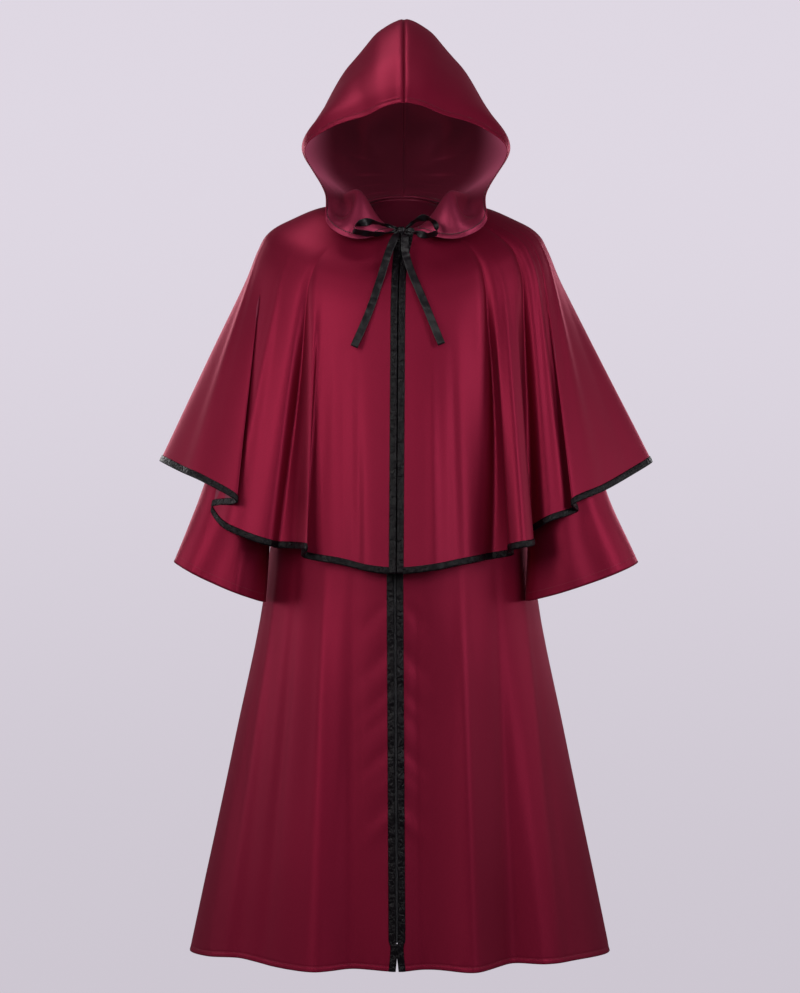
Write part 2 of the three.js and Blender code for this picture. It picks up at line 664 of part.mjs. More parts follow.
function hemBinding(name, turns) {
  const sections = turns.map((turn) => {
    const near = capeAround(turn, 1);
    const step = near.distanceTo(capeAround(turn, 0.98)) / 0.02;
    const farAt = 1 - BINDING_WIDTH / step;
    const far = capeAround(turn, farAt);
    return bindingSection(near, capeAroundNormal(turn, 1), far, capeAroundNormal(turn, farAt));
  });
  return sweptBar(name, sections, U_FLAT, BLACK_SATIN);
}

function frontHemTurns(side) {
  const turns = capeFrontTurns(side, 1);
  const clear = turnBeside(cape, 1, side * (CAPE_EDGE + BINDING_WIDTH + GAP));
  const kept = turns.filter((turn) => side * turn > side * clear + 1);
  return side > 0 ? [clear, ...kept] : [...kept, clear];
}

function edgeBinding(name, surface, normal, side, edgeOf, rows) {
  const sections = rows.map((at) => {
    const edge = edgeOf(at);
    const nearTurn = turnBeside(surface, at, side * edge);
    const farTurn = turnBeside(surface, at, side * (edge + BINDING_WIDTH));
    return bindingSection(
      surface(nearTurn, at), normal(nearTurn, at), surface(farTurn, at), normal(farTurn, at),
    );
  });
  return sweptBar(name, sections, U_FLAT, BLACK_SATIN);
}

// Hood

// How far towards +X each place of the filled hood sits
const HOOD_SWAY = { lapel: 2.5, corner: 5, cheek: 5, side: 5, temple: 5, brow: 4, crown: 1.5 };
const HOOD_PLACES = ['lapel', 'corner', 'cheek', 'side', 'temple', 'brow', 'crown'];
const HOOD_RISE = 0.9; // the hood's lower edge stands this far above the capelet's neck edge

const hoodNeck = column(HOOD_ARCHES, 'neck');
const capeRingColumns = Object.fromEntries(RING_COLUMNS.map((name) => [name, column(CAPE_RINGS, name)]));

// One side's surface, by how far back (0 to 1) and how far up (0 to 1) a point lies
function hoodSurface(side) {
  const along = HOOD_PLACES.map((place) => new THREE.CatmullRomCurve3(HOOD_ARCHES.map((arch) => {
    const [x, y, z] = arch[place];
    return new THREE.Vector3(x * -side + lerp(HOOD_SWAY[place], HOOD_SWAY.crown, arch.at), y, z);
  })));
  const ats = HOOD_ARCHES.map((arch) => arch.at);
  return (back, up) => {
    let i = 0;
    while (i < ats.length - 2 && back > ats[i + 1]) i += 1;
    const share = clamp((back - ats[i]) / (ats[i + 1] - ats[i]), 0, 1);
    const start = ringPoint(capeRingColumns, 0, side * hoodNeck(back), NECK_STAND + CLOTH);
    start.z += HOOD_RISE;
    const half = [start, ...along.map((curve) => curve.getPoint((i + share) / (ats.length - 1)))];
    const middle = half[half.length - 1].x;
    const mirrored = (point) => new THREE.Vector3(2 * middle - point.x, point.y, point.z);
    const other = half.slice(0, -1).reverse().map(mirrored);
    return new THREE.CatmullRomCurve3([...half, ...other]).getPoint(clamp(up, 0, 1) / 2);
  };
}

const HOOD_ROWS = [0, 0.06, ...steps(0.12, 0.82, 10), 0.88, 0.92, 0.96, 1];
const HOOD_COLUMNS = [0, 0.04, 0.08, 0.13, 0.19, 0.25, 0.32, 0.38, 0.45, 0.55, 0.65, 0.75, 0.85, 0.93, 1];

function hoodHalf(side) {
  const surface = hoodSurface(side);
  // Each half stops short of the seam, from the forehead to the nape, by half the gap
  const keepOff = (place, up) => {
    const limit = surface(1, up).x + (side * GAP) / 2;
    place.x = side > 0 ? Math.max(place.x, limit) : Math.min(place.x, limit);
    return place;
  };
  const normal = (back, up) => {
    const across = surface(Math.min(back + 0.004, 1), up).sub(surface(Math.max(back - 0.004, 0), up));
    const rise = surface(back, Math.min(up + 0.01, 1)).sub(surface(back, Math.max(up - 0.01, 0)));
    return rise.cross(across).normalize().multiplyScalar(-side);
  };
  const grid = (off) => HOOD_ROWS.map((up) => HOOD_COLUMNS.map((back) => (
    keepOff(surface(back, up).addScaledVector(normal(back, up), off), up)
  )));
  return outwards(wallMesh(side > 0 ? 'hood_right' : 'hood_left', grid(0), grid(-CLOTH), SATIN));
}

garment.add(robeFront(-1), robeFront(1), robeBack());
garment.add(sleeve(-1), sleeve(1));
garment.add(capeFront(-1), capeFront(1));
garment.add(clothWall('cape_back', capeAround, capeAroundNormal, capeRows, capeBackTurns, SATIN));
garment.add(hemBinding('cape_hem_binding_left', frontHemTurns(-1)));
garment.add(hemBinding('cape_hem_binding_right', frontHemTurns(1)));
garment.add(hemBinding('cape_hem_binding_back', capeBackTurns(1)));
for (const [side, word] of [[-1, 'left'], [1, 'right']]) {
  const capeEdgeAt = (at) => capeEdge(cape(0, at).z);
  const capeEdgeRows = [0.02, ...capeRows.slice(1)];
  garment.add(edgeBinding(`cape_edge_binding_${word}`, cape, capeNormal, side, capeEdgeAt, capeEdgeRows));
  garment.add(edgeBinding(`robe_edge_binding_${word}`, robe, robeNormal, side, () => ROBE_EDGE, robeRows));
}
garment.add(hoodHalf(-1), hoodHalf(1));

// Zip

// The robe's height share where its closed front is at a height
function robeAtLevel(z) {
  let low = 0;
  let high = 1;
  for (let pass = 0; pass < 30; pass += 1) {
    const middle = (low + high) / 2;
    if (robe(0, middle).z > z) low = middle;
    else high = middle;
  }
  return (low + high) / 2;
}

// A strip along the closed front, between two distances beside it and two offsets off the cloth
function frontStrip(name, side, [near, far], [under, over], [top, bottom], material) {
  const from = robeAtLevel(top);
  const to = robeAtLevel(bottom);
  const rows = [from, ...robeRows.filter((at) => at > from + 0.004 && at < to - 0.004), to];
  const corners = [[near, under], [far, under], [far, over], [near, over]];
  const sections = rows.map((at) => corners.map(([beside, off]) => {
    const turn = turnBeside(robe, at, side * beside);
    return robe(turn, at).addScaledVector(robeNormal(turn, at), off);
  }));
  return sweptBar(name, sections, SQUARE, material);
}

const SLIDER_MIDDLE = ZIP_TOP - SLIDER.high / 2;
const CHAIN_TOP = ZIP_TOP - SLIDER.high - GAP;
const TAPE_OVER = -CLOTH - 2 * GAP - BINDING;
const STOP_HIGH = 5;
const STOP_PROUD = 1.2;

for (const [side, word] of [[-1, 'left'], [1, 'right']]) {
  const near = CHAIN_WIDTH / 2 + GAP;
  const far = near + TAPE_WIDTH;
  const depth = [TAPE_OVER - TAPE, TAPE_OVER];
  garment.add(frontStrip(`zip_tape_${word}`, side, [near, far], depth, [ZIP_TOP, ZIP_BOTTOM], ZIP_BLACK));
}
const chainAcross = [-CHAIN_WIDTH / 2, CHAIN_WIDTH / 2];
const chainDepth = [CHAIN_PROUD - CHAIN_THICK, CHAIN_PROUD];
const stopDepth = [CHAIN_PROUD - CHAIN_THICK, STOP_PROUD];
const stopTop = ZIP_BOTTOM + STOP_HIGH;
garment.add(frontStrip('zip_chain', 1, chainAcross, chainDepth, [CHAIN_TOP, stopTop + GAP], ZIP_BLACK));
garment.add(frontStrip('zip_bottom_stop', 1, chainAcross, stopDepth, [stopTop, ZIP_BOTTOM], METAL));

const wasm = await Module();
wasm.setup();

// A closed three.js geometry as a solid, and back
function solidOf(geometry) {
  const bare = geometry.clone();
  bare.deleteAttribute('normal');
  bare.deleteAttribute('uv');
  const merged = mergeVertices(bare, 1e-4);
  return new wasm.Manifold(new wasm.Mesh({
    numProp: 3,
    vertProperties: new Float32Array(merged.getAttribute('position').array),
    triVerts: new Uint32Array(merged.getIndex().array),
  }));
}

function meshOf(name, solid, material) {
  const result = solid.getMesh();
  const geometry = new THREE.BufferGeometry();
  geometry.setAttribute('position', new THREE.BufferAttribute(new Float32Array(result.vertProperties), 3));
  geometry.setIndex(Array.from(result.triVerts));
  geometry.computeVertexNormals();
  const mesh = new THREE.Mesh(geometry, new THREE.MeshStandardMaterial(material));
  mesh.name = name;
  return mesh;
}

function box(wide, deep, high, x, y, z) {
  return solidOf(new THREE.BoxGeometry(wide, deep, high).translate(x, y, z));
}

function rod(radius, long) {
  return solidOf(new THREE.CylinderGeometry(radius, radius, long, 16).rotateZ(Math.PI / 2));
}

// Slider and pull tab are made about the tab's pivot, the front facing -Y
const LUG_RADIUS = 1.9;
const PIN_RADIUS = 0.7;
const LUG_WIDE = 2.2;
const PLATE_OFF = BINDING + 2 * GAP; // back of the plate, in front of the robe's cloth
const PIVOT_OFF = PLATE_OFF + SLIDER.thick + SLIDER.bridge;
const TAB_LEAN = 24; // degrees that the resting tab leans forward from upright
const TAB_RISE = 1.3; // how far the tab reaches above its pivot

function sliderSolid() {
  const plateY = PIVOT_OFF - PLATE_OFF - SLIDER.thick / 2;
  const plate = box(SLIDER.wide, SLIDER.thick, SLIDER.high, 0, plateY, 0);
  const lug = rod(LUG_RADIUS, LUG_WIDE);
  const root = box(LUG_WIDE, plateY, 1.8 * LUG_RADIUS, 0, plateY / 2, 0);
  return plate.add(lug).add(root).subtract(rod(PIN_RADIUS + GAP, LUG_WIDE + 2));
}

function tabSolid() {
  const blade = box(TAB.wide, TAB.thick, TAB.long + TAB_RISE, 0, 0, (TAB_RISE - TAB.long) / 2);
  const slotFoot = LUG_RADIUS + 0.5;
  const slotTop = TAB_RISE + 1;
  const slot = box(LUG_WIDE + 2 * GAP, TAB.thick + 2, slotFoot + slotTop, 0, 0, (slotTop - slotFoot) / 2);
  return blade.subtract(slot).add(rod(PIN_RADIUS, TAB.wide - 1));
}

const sliderAt = robeAtLevel(SLIDER_MIDDLE);
const sliderNormal = robeNormal(0, sliderAt);
const pivot = robe(0, sliderAt).addScaledVector(sliderNormal, PIVOT_OFF);
const slope = Math.atan2(-sliderNormal.z, -sliderNormal.y);
const slider = meshOf('zip_slider', sliderSolid(), METAL);
slider.position.copy(pivot);
slider.rotation.x = slope;
const tab = meshOf('zip_pull_tab', tabSolid(), ENAMEL);
tab.position.copy(pivot);
tab.rotation.x = -radians(TAB_LEAN);
garment.add(slider, tab);

// Ribbon tie

// A flat ribbon along points, its width turning from one direction to another and pinched at its ends
function ribbon(run) {
  const curve = new THREE.CatmullRomCurve3(run.points.map((point) => new THREE.Vector3(...point)));
  const from = new THREE.Vector3(...run.width_from).normalize();
  const to = new THREE.Vector3(...run.width_to).normalize();
  const sections = steps(0, 1, run.steps).map((share) => {
    const middle = curve.getPoint(share);
    const along = curve.getTangent(share);
    const open = lerp(run.pinch_from, 1, smooth(share, 0, PINCH_LENGTH))
      * lerp(run.pinch_to, 1, smooth(1 - share, 0, PINCH_LENGTH));
    const width = from.clone().lerp(to, share);
    width.addScaledVector(along, -width.dot(along)).normalize();
    const face = along.clone().cross(width).multiplyScalar(RIBBON / 2);
    width.multiplyScalar((open * RIBBON_WIDTH) / 2);
    return SQUARE.map((corner) => (
      middle.clone().addScaledVector(width, corner.x).addScaledVector(face, corner.y)
    ));
  });
  return sweptBar(run.name, sections, SQUARE, BLACK_SATIN);
}

// The knot is a ball whose sides are pressed flatter
function knotMesh() {
  const geometry = new THREE.SphereGeometry(1, 14, 10);
  const position = geometry.getAttribute('position');
  const flatter = (value) => Math.sign(value) * Math.abs(value) ** KNOT.squareness;
  for (let i = 0; i < position.count; i += 1) {
    position.setXYZ(i, flatter(position.getX(i)), flatter(position.getY(i)), flatter(position.getZ(i)));
  }
  geometry.computeVertexNormals();
  const mesh = new THREE.Mesh(geometry, new THREE.MeshStandardMaterial(BLACK_SATIN));
  mesh.name = 'tie_knot';
  mesh.scale.set(KNOT.wide / 2, KNOT.deep / 2, KNOT.high / 2);
  mesh.position.set(KNOT.x, KNOT.y, KNOT.z);
  return mesh;
}

garment.add(knotMesh());
for (const run of RIBBONS) {
  garment.add(ribbon(run));
}

export default garment;
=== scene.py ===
"""A hooded robe with a shoulder capelet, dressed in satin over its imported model.

The cloth is worked out in millimetres from the garment's own rings and hems, and put into meshes in metres.
"""
import math

import bpy
import numpy as np
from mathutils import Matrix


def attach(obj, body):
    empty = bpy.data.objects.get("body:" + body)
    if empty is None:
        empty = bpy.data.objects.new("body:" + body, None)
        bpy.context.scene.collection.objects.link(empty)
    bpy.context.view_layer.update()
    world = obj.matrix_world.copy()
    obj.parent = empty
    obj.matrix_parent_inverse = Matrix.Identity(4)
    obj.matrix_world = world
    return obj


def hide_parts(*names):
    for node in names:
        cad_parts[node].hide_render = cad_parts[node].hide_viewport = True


bl_info = {
    "name": "Hooded cape",
    "version": (1, 0, 0),
    "blender": (4, 5, 0),
    "location": "3D View > Sidebar > Hooded cape",
    "description": "Makes a hooded satin robe with a shoulder capelet, its trims, zip and tie",
    "category": "Add Mesh",
}

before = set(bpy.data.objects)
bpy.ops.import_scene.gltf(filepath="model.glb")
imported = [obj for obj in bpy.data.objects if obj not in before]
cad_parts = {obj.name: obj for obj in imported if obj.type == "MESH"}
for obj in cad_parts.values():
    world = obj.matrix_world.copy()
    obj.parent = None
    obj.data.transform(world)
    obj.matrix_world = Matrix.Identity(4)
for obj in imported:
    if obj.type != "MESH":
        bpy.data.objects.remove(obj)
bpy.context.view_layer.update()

BODY = "garment"
SIDES = ((-1, "left"), (1, "right"))
MM = 0.001

# Lengths in millimetres, as in the solids.
GAP = 0.3  # from a hem binding's end to the front binding beside it
BINDING_WIDTH = 9.5
BINDING_WALL = 0.45
ROBE_EDGE = 3.4  # half the gap between the robe's front edges along the zip
CAPE_EDGE = 1.8  # the same on the capelet, below CAPE_EDGE_CLOSED
CAPE_EDGE_TOP = 5.6
CAPE_EDGE_CLOSED = -112.0
CAPE_GROW = 3.3  # how far the capelet's rings stand out from their table
ARMHOLE_TURN = 27.0  # degrees from the side seam to the armhole's edge
RIBBON_WIDTH = 12.0
RIBBON_WALL = 0.4
ZIP_TOP = -57.0
ZIP_BOTTOM = -1190.0
HEM_STITCH = 8.0  # from an edge to its row of stitches
CUFF_STITCH = 13.0
LINING = -0.95  # the cloth's inner face, from its outer one

# The photo's camera: the width of its sensor, its lens on the photo's long side, and its place from the neck.
SENSOR = 36.0
LENS = SENSOR * 2108 / 993
CAMERA_ASIDE = -0.005
CAMERA_LEVEL = -0.481

# The lamps: where each stands and what it faces, in metres, its width, its power in watts and its tint.
LAMPS = {
    "key": ((-2.0, -2.6, 0.45), (0, 0, -0.35), 1.5, 34, (1.0, 0.97, 0.96)),
    "fill": ((2.3, -2.3, 0.4), (0, 0, -0.4), 1.4, 33, (0.97, 0.97, 1.0)),
    "front": ((-0.2, -4.2, 0.5), (0, 0, -0.2), 1.2, 18, (1.0, 0.98, 0.98)),
    "top": ((-0.6, -0.2, 1.9), (0, 0, 0.1), 0.9, 13, (1.0, 0.98, 1.0)),
    "side left": ((-3.0, 0.0, 0.0), (0, 0, -0.5), 1.5, 18, (1.0, 0.98, 1.0)),
    "side right": ((3.0, 0.0, 0.0), (0, 0, -0.5), 1.5, 13, (1.0, 0.98, 1.0)),
    "back left": ((-2.2, 3.0, 0.6), (0, 0, -0.4), 1.5, 26, (1.0, 0.98, 0.98)),
    "back right": ((2.4, 2.7, 0.4), (0, 0, -0.4), 1.5, 24, (0.97, 0.97, 1.0)),
}
WORLD = ((0.86, 0.84, 0.90, 1), 0.12)


def columns(heading, rows):
    """A table as arrays, one for each column named in its heading."""
    return dict(zip(heading.split(), np.array(rows, float).T))


# Rings round the body at height shares `at`, from the neck: half sizes to the side, front and back, how far
# their middle lies back, how far they drift aside, and their heights at the side, front and back.
RING_HEADING = "at side front back middle drift side_z front_z back_z"
ROBE_RINGS = columns(RING_HEADING, [
    [0.0, 76, 96, 81, 0, 0, 3, -52, 25],
    [0.04, 126, 103, 90, 0, 0, -6, -76, 2],
    [0.09, 176, 114, 100, 2, 0, -29, -108, -32],
    [0.12, 203, 123, 106, 4, 0, -48, -138, -60],
    [0.2, 204, 136, 112, 8, -1, -160, -205, -150],
    [0.28, 198, 147, 114, 13, -2, -272, -300, -270],
    [0.56, 224, 172, 128, 28, -4, -640, -640, -640],
])
ROBE_SHOULDER = 0.12  # height shares of the armhole's top and foot, and of the last ring
ROBE_UNDERARM = 0.28
ROBE_HIP = 0.56

# Hems as waved lines: the turn in degrees from the front, over the right side to the back, and a point there.
HEM_HEADING = "turn x y z"
ROBE_HEM = columns(HEM_HEADING, [
    [-180, 0, 198, -1231],
    [-168, -66, 176, -1228],
    [-156, -128, 196, -1232],
    [-143, -190, 152, -1228],
    [-130, -250, 150, -1232],
    [-116, -296, 92, -1230],
    [-103, -343, 66, -1235],
    [-90, -355, 14, -1237],
    [-76, -318, -62, -1231],
    [-60, -262, -108, -1224],
    [-46, -211, -152, -1227],
    [-32, -143, -190, -1228],
    [-16, -74, -178, -1226],
    [0, -9.5, -188, -1228],
    [14, 46, -178, -1227],
    [28, 112, -190, -1229],
    [44, 177, -134, -1227],
    [57, 229, -130, -1229],
    [72, 277, -88, -1232],
    [90, 344, 14, -1239],
    [103, 334, 70, -1235],
    [117, 288, 96, -1230],
    [131, 246, 156, -1232],
    [145, 184, 158, -1228],
    [157, 124, 198, -1232],
    [169, 60, 178, -1228],
    [180, 0, 198, -1231],
])
CAPE_RINGS = columns(RING_HEADING, [
    [0.0, 76, 96, 81, 0, 0, 6, -51.5, 29],
    [0.09, 127, 103, 92, 0, 0, -1, -74, 8],
    [0.19, 183, 117, 105, 0, 0, -23, -106, -25],
    [0.25, 214, 130, 114, 0, 0, -40, -131, -52],
    [0.3, 236, 138, 122, 0, 0, -66, -156, -80],
    [0.36, 248, 144, 129, 0, 0, -103, -186, -114],
])
CAPE_FREE = 0.36  # the height share from which the capelet hangs free of the shoulders
CAPE_HEM = columns(HEM_HEADING, [
    [-180, 0, 196, -546],
    [-170, -58, 176, -545],
    [-160, -112, 202, -541],
    [-150, -176, 178, -532],
    [-143, -160, 150, -526],
    [-133, -226, 140, -512],
    [-122, -290, 146, -484],
    [-110, -344, 98, -448],
    [-99, -388, 48, -429],
    [-90, -404, 6, -421],
    [-81, -361, -74, -440],
    [-73, -318, -122, -458],
    [-67, -264, -150, -489],
    [-63, -311, -90, -499],
    [-56, -290, -124, -528],
    [-49, -250, -140, -547],
    [-42, -210, -150, -559],
    [-37, -179, -148, -562],
    [-33, -152, -177, -565],
    [-30, -157, -148, -577],
    [-22, -98, -166, -588],
    [-11, -55, -184, -598],
    [0, -11, -188, -602],
    [11, 45, -190, -597],
    [21, 98, -174, -587],
    [28, 140, -148, -580],
    [33, 172, -150, -573],
    [37, 167, -172, -566],
    [41, 186, -185, -561],
    [45, 207, -168, -557],
    [50, 196, -132, -541],
    [56, 232, -134, -521],
    [64, 277, -116, -505],
    [68, 270, -138, -494],
    [76, 326, -95, -470],
    [83, 371, -48, -447],
    [90, 414, 6, -423],
    [99, 396, 50, -430],
    [110, 348, 104, -449],
    [121, 296, 140, -476],
    [131, 236, 184, -505],
    [138, 252, 146, -512],
    [149, 178, 160, -532],
    [160, 116, 200, -541],
    [170, 58, 178, -545],
    [180, 0, 196, -546],
])
# Where the closed front lies aside at each height.
FRONT_LINE = columns("at x", [
    [-1240, -9.5],
    [-900, -11],
    [-600, -13],
    [-300, -10],
    [-130, -7],
    [-50, 2],
])
# Oval rings down the sleeves: their outer and inner ends, their middle forward or back, and half their depth.
SLEEVE_HEADING = "at outer_x outer_z inner_x inner_z y depth"
SLEEVE_RINGS = {
    -1: columns(SLEEVE_HEADING, [
        [0.12, -226, -76, -207, -292, -8, 62],
        [0.5, -283, -290, -214, -420, -30, 62],
        [0.78, -326, -463, -217, -545, -46, 58],
        [1, -374, -586, -224, -653, -56, 54],
    ]),
    1: columns(SLEEVE_HEADING, [
        [0.12, 226, -76, 207, -292, -8, 62],
        [0.5, 284, -290, 212, -420, -32, 62],
        [0.78, 330, -463, 205, -545, -50, 56],
        [1, 382, -588, 199, -651, -62, 52],
    ]),
}
# How far the cuffs wave out and drop, by the turn round the sleeve.
CUFF_WAVES = columns("turn out drop", [
    [0, 0, 0],
    [40, 4, 3],
    [75, -3, 5],
    [110, 5, 4],
    [145, -2, 2],
    [180, 0, 0],
    [220, 4, 2],
    [260, -5, 4],
    [305, 5, 3],
    [360, 0, 0],
])
# Half the hood: seven arches from the face edge to the nape, each through seven places from the front corner
# up to the centre seam. HOOD_AT spaces the arches, HOOD_NECK is their turn on the neck seam in degrees, and
# HOOD_SWAY moves each place aside, because the hood hangs a little to the right.
HOOD_PLACES = ("lapel", "corner", "cheek", "side", "temple", "brow", "crown")
HOOD_SWAY = (2.5, 5, 5, 5, 5, 4, 1.5)
HOOD_AT = np.array([0, 0.1, 0.25, 0.45, 0.65, 0.85, 1.0])
HOOD_NECK = np.array([3, 12, 30, 65, 100, 145, 180.0])
HOOD_ARCHES = np.array([
    [[-82, -124, -68], [-127, -112, -42], [-129, -118, 4], [-161, -132, 74],
     [-122, -150, 104], [-58, -166, 124], [0, -172, 141]],
    [[-76, -124, -40], [-117, -108, -20], [-129, -96, 14], [-168, -108, 80],
     [-134, -128, 126], [-66, -146, 158], [0, -154, 176]],
    [[-72, -108, 8], [-103, -84, 0], [-127, -60, 26], [-168, -60, 82],
     [-138, -80, 142], [-74, -98, 206], [0, -108, 238]],
    [[-90, -40, 12], [-108, -30, 22], [-130, -14, 42], [-162, -6, 90],
     [-138, -16, 150], [-82, -22, 244], [0, -24, 306]],
    [[-86, 22, 14], [-100, 34, 32], [-120, 46, 58], [-132, 52, 104],
     [-122, 52, 168], [-78, 56, 226], [0, 66, 276]],
    [[-56, 78, 32], [-62, 90, 48], [-70, 102, 68], [-76, 112, 100],
     [-72, 118, 142], [-46, 122, 178], [0, 130, 206]],
    [[0, 90, 42], [0, 100, 56], [0, 110, 72], [0, 118, 88],
     [0, 124, 104], [0, 128, 120], [0, 132, 134]],
], float)
HOOD_RISE = 0.9  # from the capelet's neck edge up to the hood's

# The tie's ribbon in six runs: the direction of its width at both ends, the share of it left open there, the
# most that it twists on the way in radians, and the points of its middle.
RIBBON_RUNS = {
    "tie_loop_left": {
        "width": ([0, -0.7, 0.7], [0, -0.8, 0.6]), "pinch": (0.35, 0.35), "twist": 0.5,
        "points": [
            [-10.2, -115, -50.5], [-34, -127, -45], [-58, -137, -43], [-76, -140, -49],
            [-78, -140, -57], [-62, -138, -61], [-34, -127, -61], [-10.2, -115.4, -54.5],
        ],
    },
    "tie_loop_right": {
        "width": ([0, -0.7, 0.7], [0, -0.8, 0.6]), "pinch": (0.35, 0.35), "twist": 0.5,
        "points": [
            [4.2, -115, -50.5], [20, -125, -40], [36, -134, -36], [50, -137, -45],
            [54, -138, -58], [42, -136, -64], [22, -127, -60], [4.2, -115.4, -54.5],
        ],
    },
    "tie_tail_left": {
        "width": ([1, 0, -0.25], [1, 0, -0.3]), "pinch": (0.4, 1.0),
        "points": [
            [-7.3, -116, -58.4], [-12, -121.5, -64], [-21.5, -128, -85], [-34.5, -137, -127],
            [-53, -150, -184], [-78, -161, -244],
        ],
    },
    "tie_tail_right": {
        "width": ([1, 0, 0.2], [1, 0, 0.35]), "pinch": (0.4, 1.0),
        "points": [
            [0.5, -116.2, -58.7], [2.2, -126, -64], [3, -128.5, -85], [9.8, -135, -113],
            [36, -151, -178], [61, -161, -240],
        ],
    },
    "tie_lead_left": {
        "width": ([0, 0, 1], [0, 0, 1]), "pinch": (0.4, 0.4),
        "points": [[-15.6, -105.6, -54.4], [-11.5, -107.4, -54], [-6.5, -109.3, -53.6]],
    },
    "tie_lead_right": {
        "width": ([0, 0, 1], [0, 0, 1]), "pinch": (0.4, 0.4),
        "points": [[18.8, -105.7, -54.4], [10, -108, -54], [0.5, -109.3, -53.4]],
    },
}

# Folds on the hanging cloth. A fold runs from turn `top` at height share `start` to turn `low`
# at `end`. It is `wide` degrees across and `high` millimetres out (in, if negative); `edge` is 2 for a soft
# fold and nearer 1 for a creased one.
FOLD_HEADING = "top low start end wide high edge"
CAPE_FOLDS = columns(FOLD_HEADING, [
    [-80, -76, 0.14, 1.3, 3.4, 2.4, 2],
    [-52, -54, 0.20, 1.3, 3.0, 3.0, 2],
    [-37.5, -40.5, 0.18, 1.3, 3.0, -21.0, 1.4],
    [-29, -30.5, 0.30, 1.2, 1.6, -1.6, 2],
    [-24, -24, 0.40, 1.2, 2.4, 1.4, 2],
    [-15, -15, 0.45, 1.3, 2.6, -1.8, 2],
    [12, 11.5, 0.40, 1.3, 2.6, 2.2, 2],
    [19, 18.5, 0.40, 1.3, 2.6, -2.0, 2],
    [36.6, 26.2, 0.08, 1.3, 2.7, -20.0, 1.4],
    [41, 42.0, 0.14, 1.3, 2.0, 2.4, 2],
    [53.6, 51.0, 0.08, 1.3, 2.7, -19.0, 1.4],
    [60, 60.0, 0.08, 1.3, 1.7, 3.2, 2],
    [66, 64.0, 0.12, 1.2, 1.4, -2.6, 2],
    [75, 73.5, 0.12, 1.2, 2.4, 2.6, 2],
    [104, 106, 0.15, 1.2, 3.0, -2.2, 2],
    [124, 127, 0.20, 1.2, 2.6, 2.6, 2],
    [146, 143, 0.12, 1.2, 2.4, -2.4, 2],
    [165, 166, 0.25, 1.2, 3.2, -2.0, 2],
    [180, 181, 0.30, 1.2, 2.8, 1.8, 2],
    [196, 193, 0.20, 1.1, 2.6, -2.0, 2],
    [214, 212, 0.12, 1.2, 2.4, 2.6, 2],
    [236, 233, 0.18, 1.2, 2.8, -2.6, 2],
    [257, 260, 0.15, 1.1, 3.0, 2.2, 2],
])
ROBE_FOLDS = columns(FOLD_HEADING, [
    [-66, -67, 0.42, 1.3, 5.0, 2.4, 2],
    [-49, -50, 0.40, 1.3, 5.0, -3.5, 2],
    [-32, -31, 0.40, 1.3, 4.6, 4.2, 2],
    [-18, -19, 0.42, 1.3, 5.0, -5.0, 2],
    [9, 9, 0.42, 1.3, 5.0, -4.4, 2],
    [28, 27, 0.40, 1.3, 4.6, 4.4, 2],
    [45, 44, 0.42, 1.3, 4.6, -4.0, 2],
    [64, 63, 0.40, 1.2, 5.0, 2.0, 2],
    [108, 110, 0.25, 1.2, 4.0, 2.4, 2],
    [126, 124, 0.30, 1.2, 4.2, -2.6, 2],
    [150, 151, 0.22, 1.2, 4.4, 2.2, 2],
    [163, 163, 0.18, 1.1, 3.6, -1.8, 2],
    [190, 191, 0.20, 1.2, 4.0, -2.4, 2],
    [203, 202, 0.30, 1.2, 4.0, 2.0, 2],
    [229, 231, 0.22, 1.2, 4.4, -2.6, 2],
    [250, 247, 0.28, 1.2, 4.4, 2.4, 2],
])


# Curves and tables

def smooth_step(value, low, high):
    """0 below low, 1 above high, and the cubic 3t^2 - 2t^3 between."""
    share = np.clip((value - low) / (high - low), 0, 1)
    return share * share * (3 - 2 * share)


def mixed(low, high, share):
    """The value a share of the way from low to high."""
    return low + (high - low) * share


def bell(distance, width, edge=2.0):
    """exp(-|distance / width| ^ edge)."""
    return np.exp(-np.abs(distance / width) ** edge)


def eased(x, y):
    """A monotone cubic through the values y at x: each inner slope is the weighted harmonic mean of the
    slopes beside it, or zero where they turn."""
    x = np.asarray(x, float)
    y = np.asarray(y, float)
    step = np.diff(x)
    slope = np.diff(y) / step
    tangent = np.empty_like(y)
    tangent[0] = slope[0]
    tangent[-1] = slope[-1]
    first = 2 * step[1:] + step[:-1]
    second = step[1:] + 2 * step[:-1]
    rising = slope[:-1] * slope[1:] > 0
    before = np.where(rising, slope[:-1], 1)
    after = np.where(rising, slope[1:], 1)
    tangent[1:-1] = np.where(rising, (first + second) / (first / before + second / after), 0)

    def value(at):
        at = np.clip(at, x[0], x[-1])
        i = np.clip(np.searchsorted(x, at, side="left") - 1, 0, len(x) - 2)
        h = x[i + 1] - x[i]
        t = (at - x[i]) / h
        t2 = t * t
        t3 = t2 * t
        return ((2 * t3 - 3 * t2 + 1) * y[i] + (t3 - 2 * t2 + t) * h * tangent[i]
                + (3 * t2 - 2 * t3) * y[i + 1] + (t3 - t2) * h * tangent[i + 1])

    return value


def spline(p0, p1, p2, p3, t):
    """The centripetal Catmull-Rom cubic from p1 to p2 at share t: its knots lie apart by the square roots of
    the chords, and its slopes at p1 and p2 follow from the points beside them."""
    def span(a, b):
        return np.maximum(np.sqrt(np.linalg.norm(b - a, axis=-1, keepdims=True)), 1e-4)

    d0, d1, d2 = span(p0, p1), span(p1, p2), span(p2, p3)
    start = ((p1 - p0) / d0 - (p2 - p0) / (d0 + d1) + (p2 - p1) / d1) * d1
    end = ((p2 - p1) / d1 - (p3 - p1) / (d1 + d2) + (p3 - p2) / d2) * d1
    return (p1 + start * t + (3 * (p2 - p1) - 2 * start - end) * t ** 2
            + (2 * (p1 - p2) + start + end) * t ** 3)


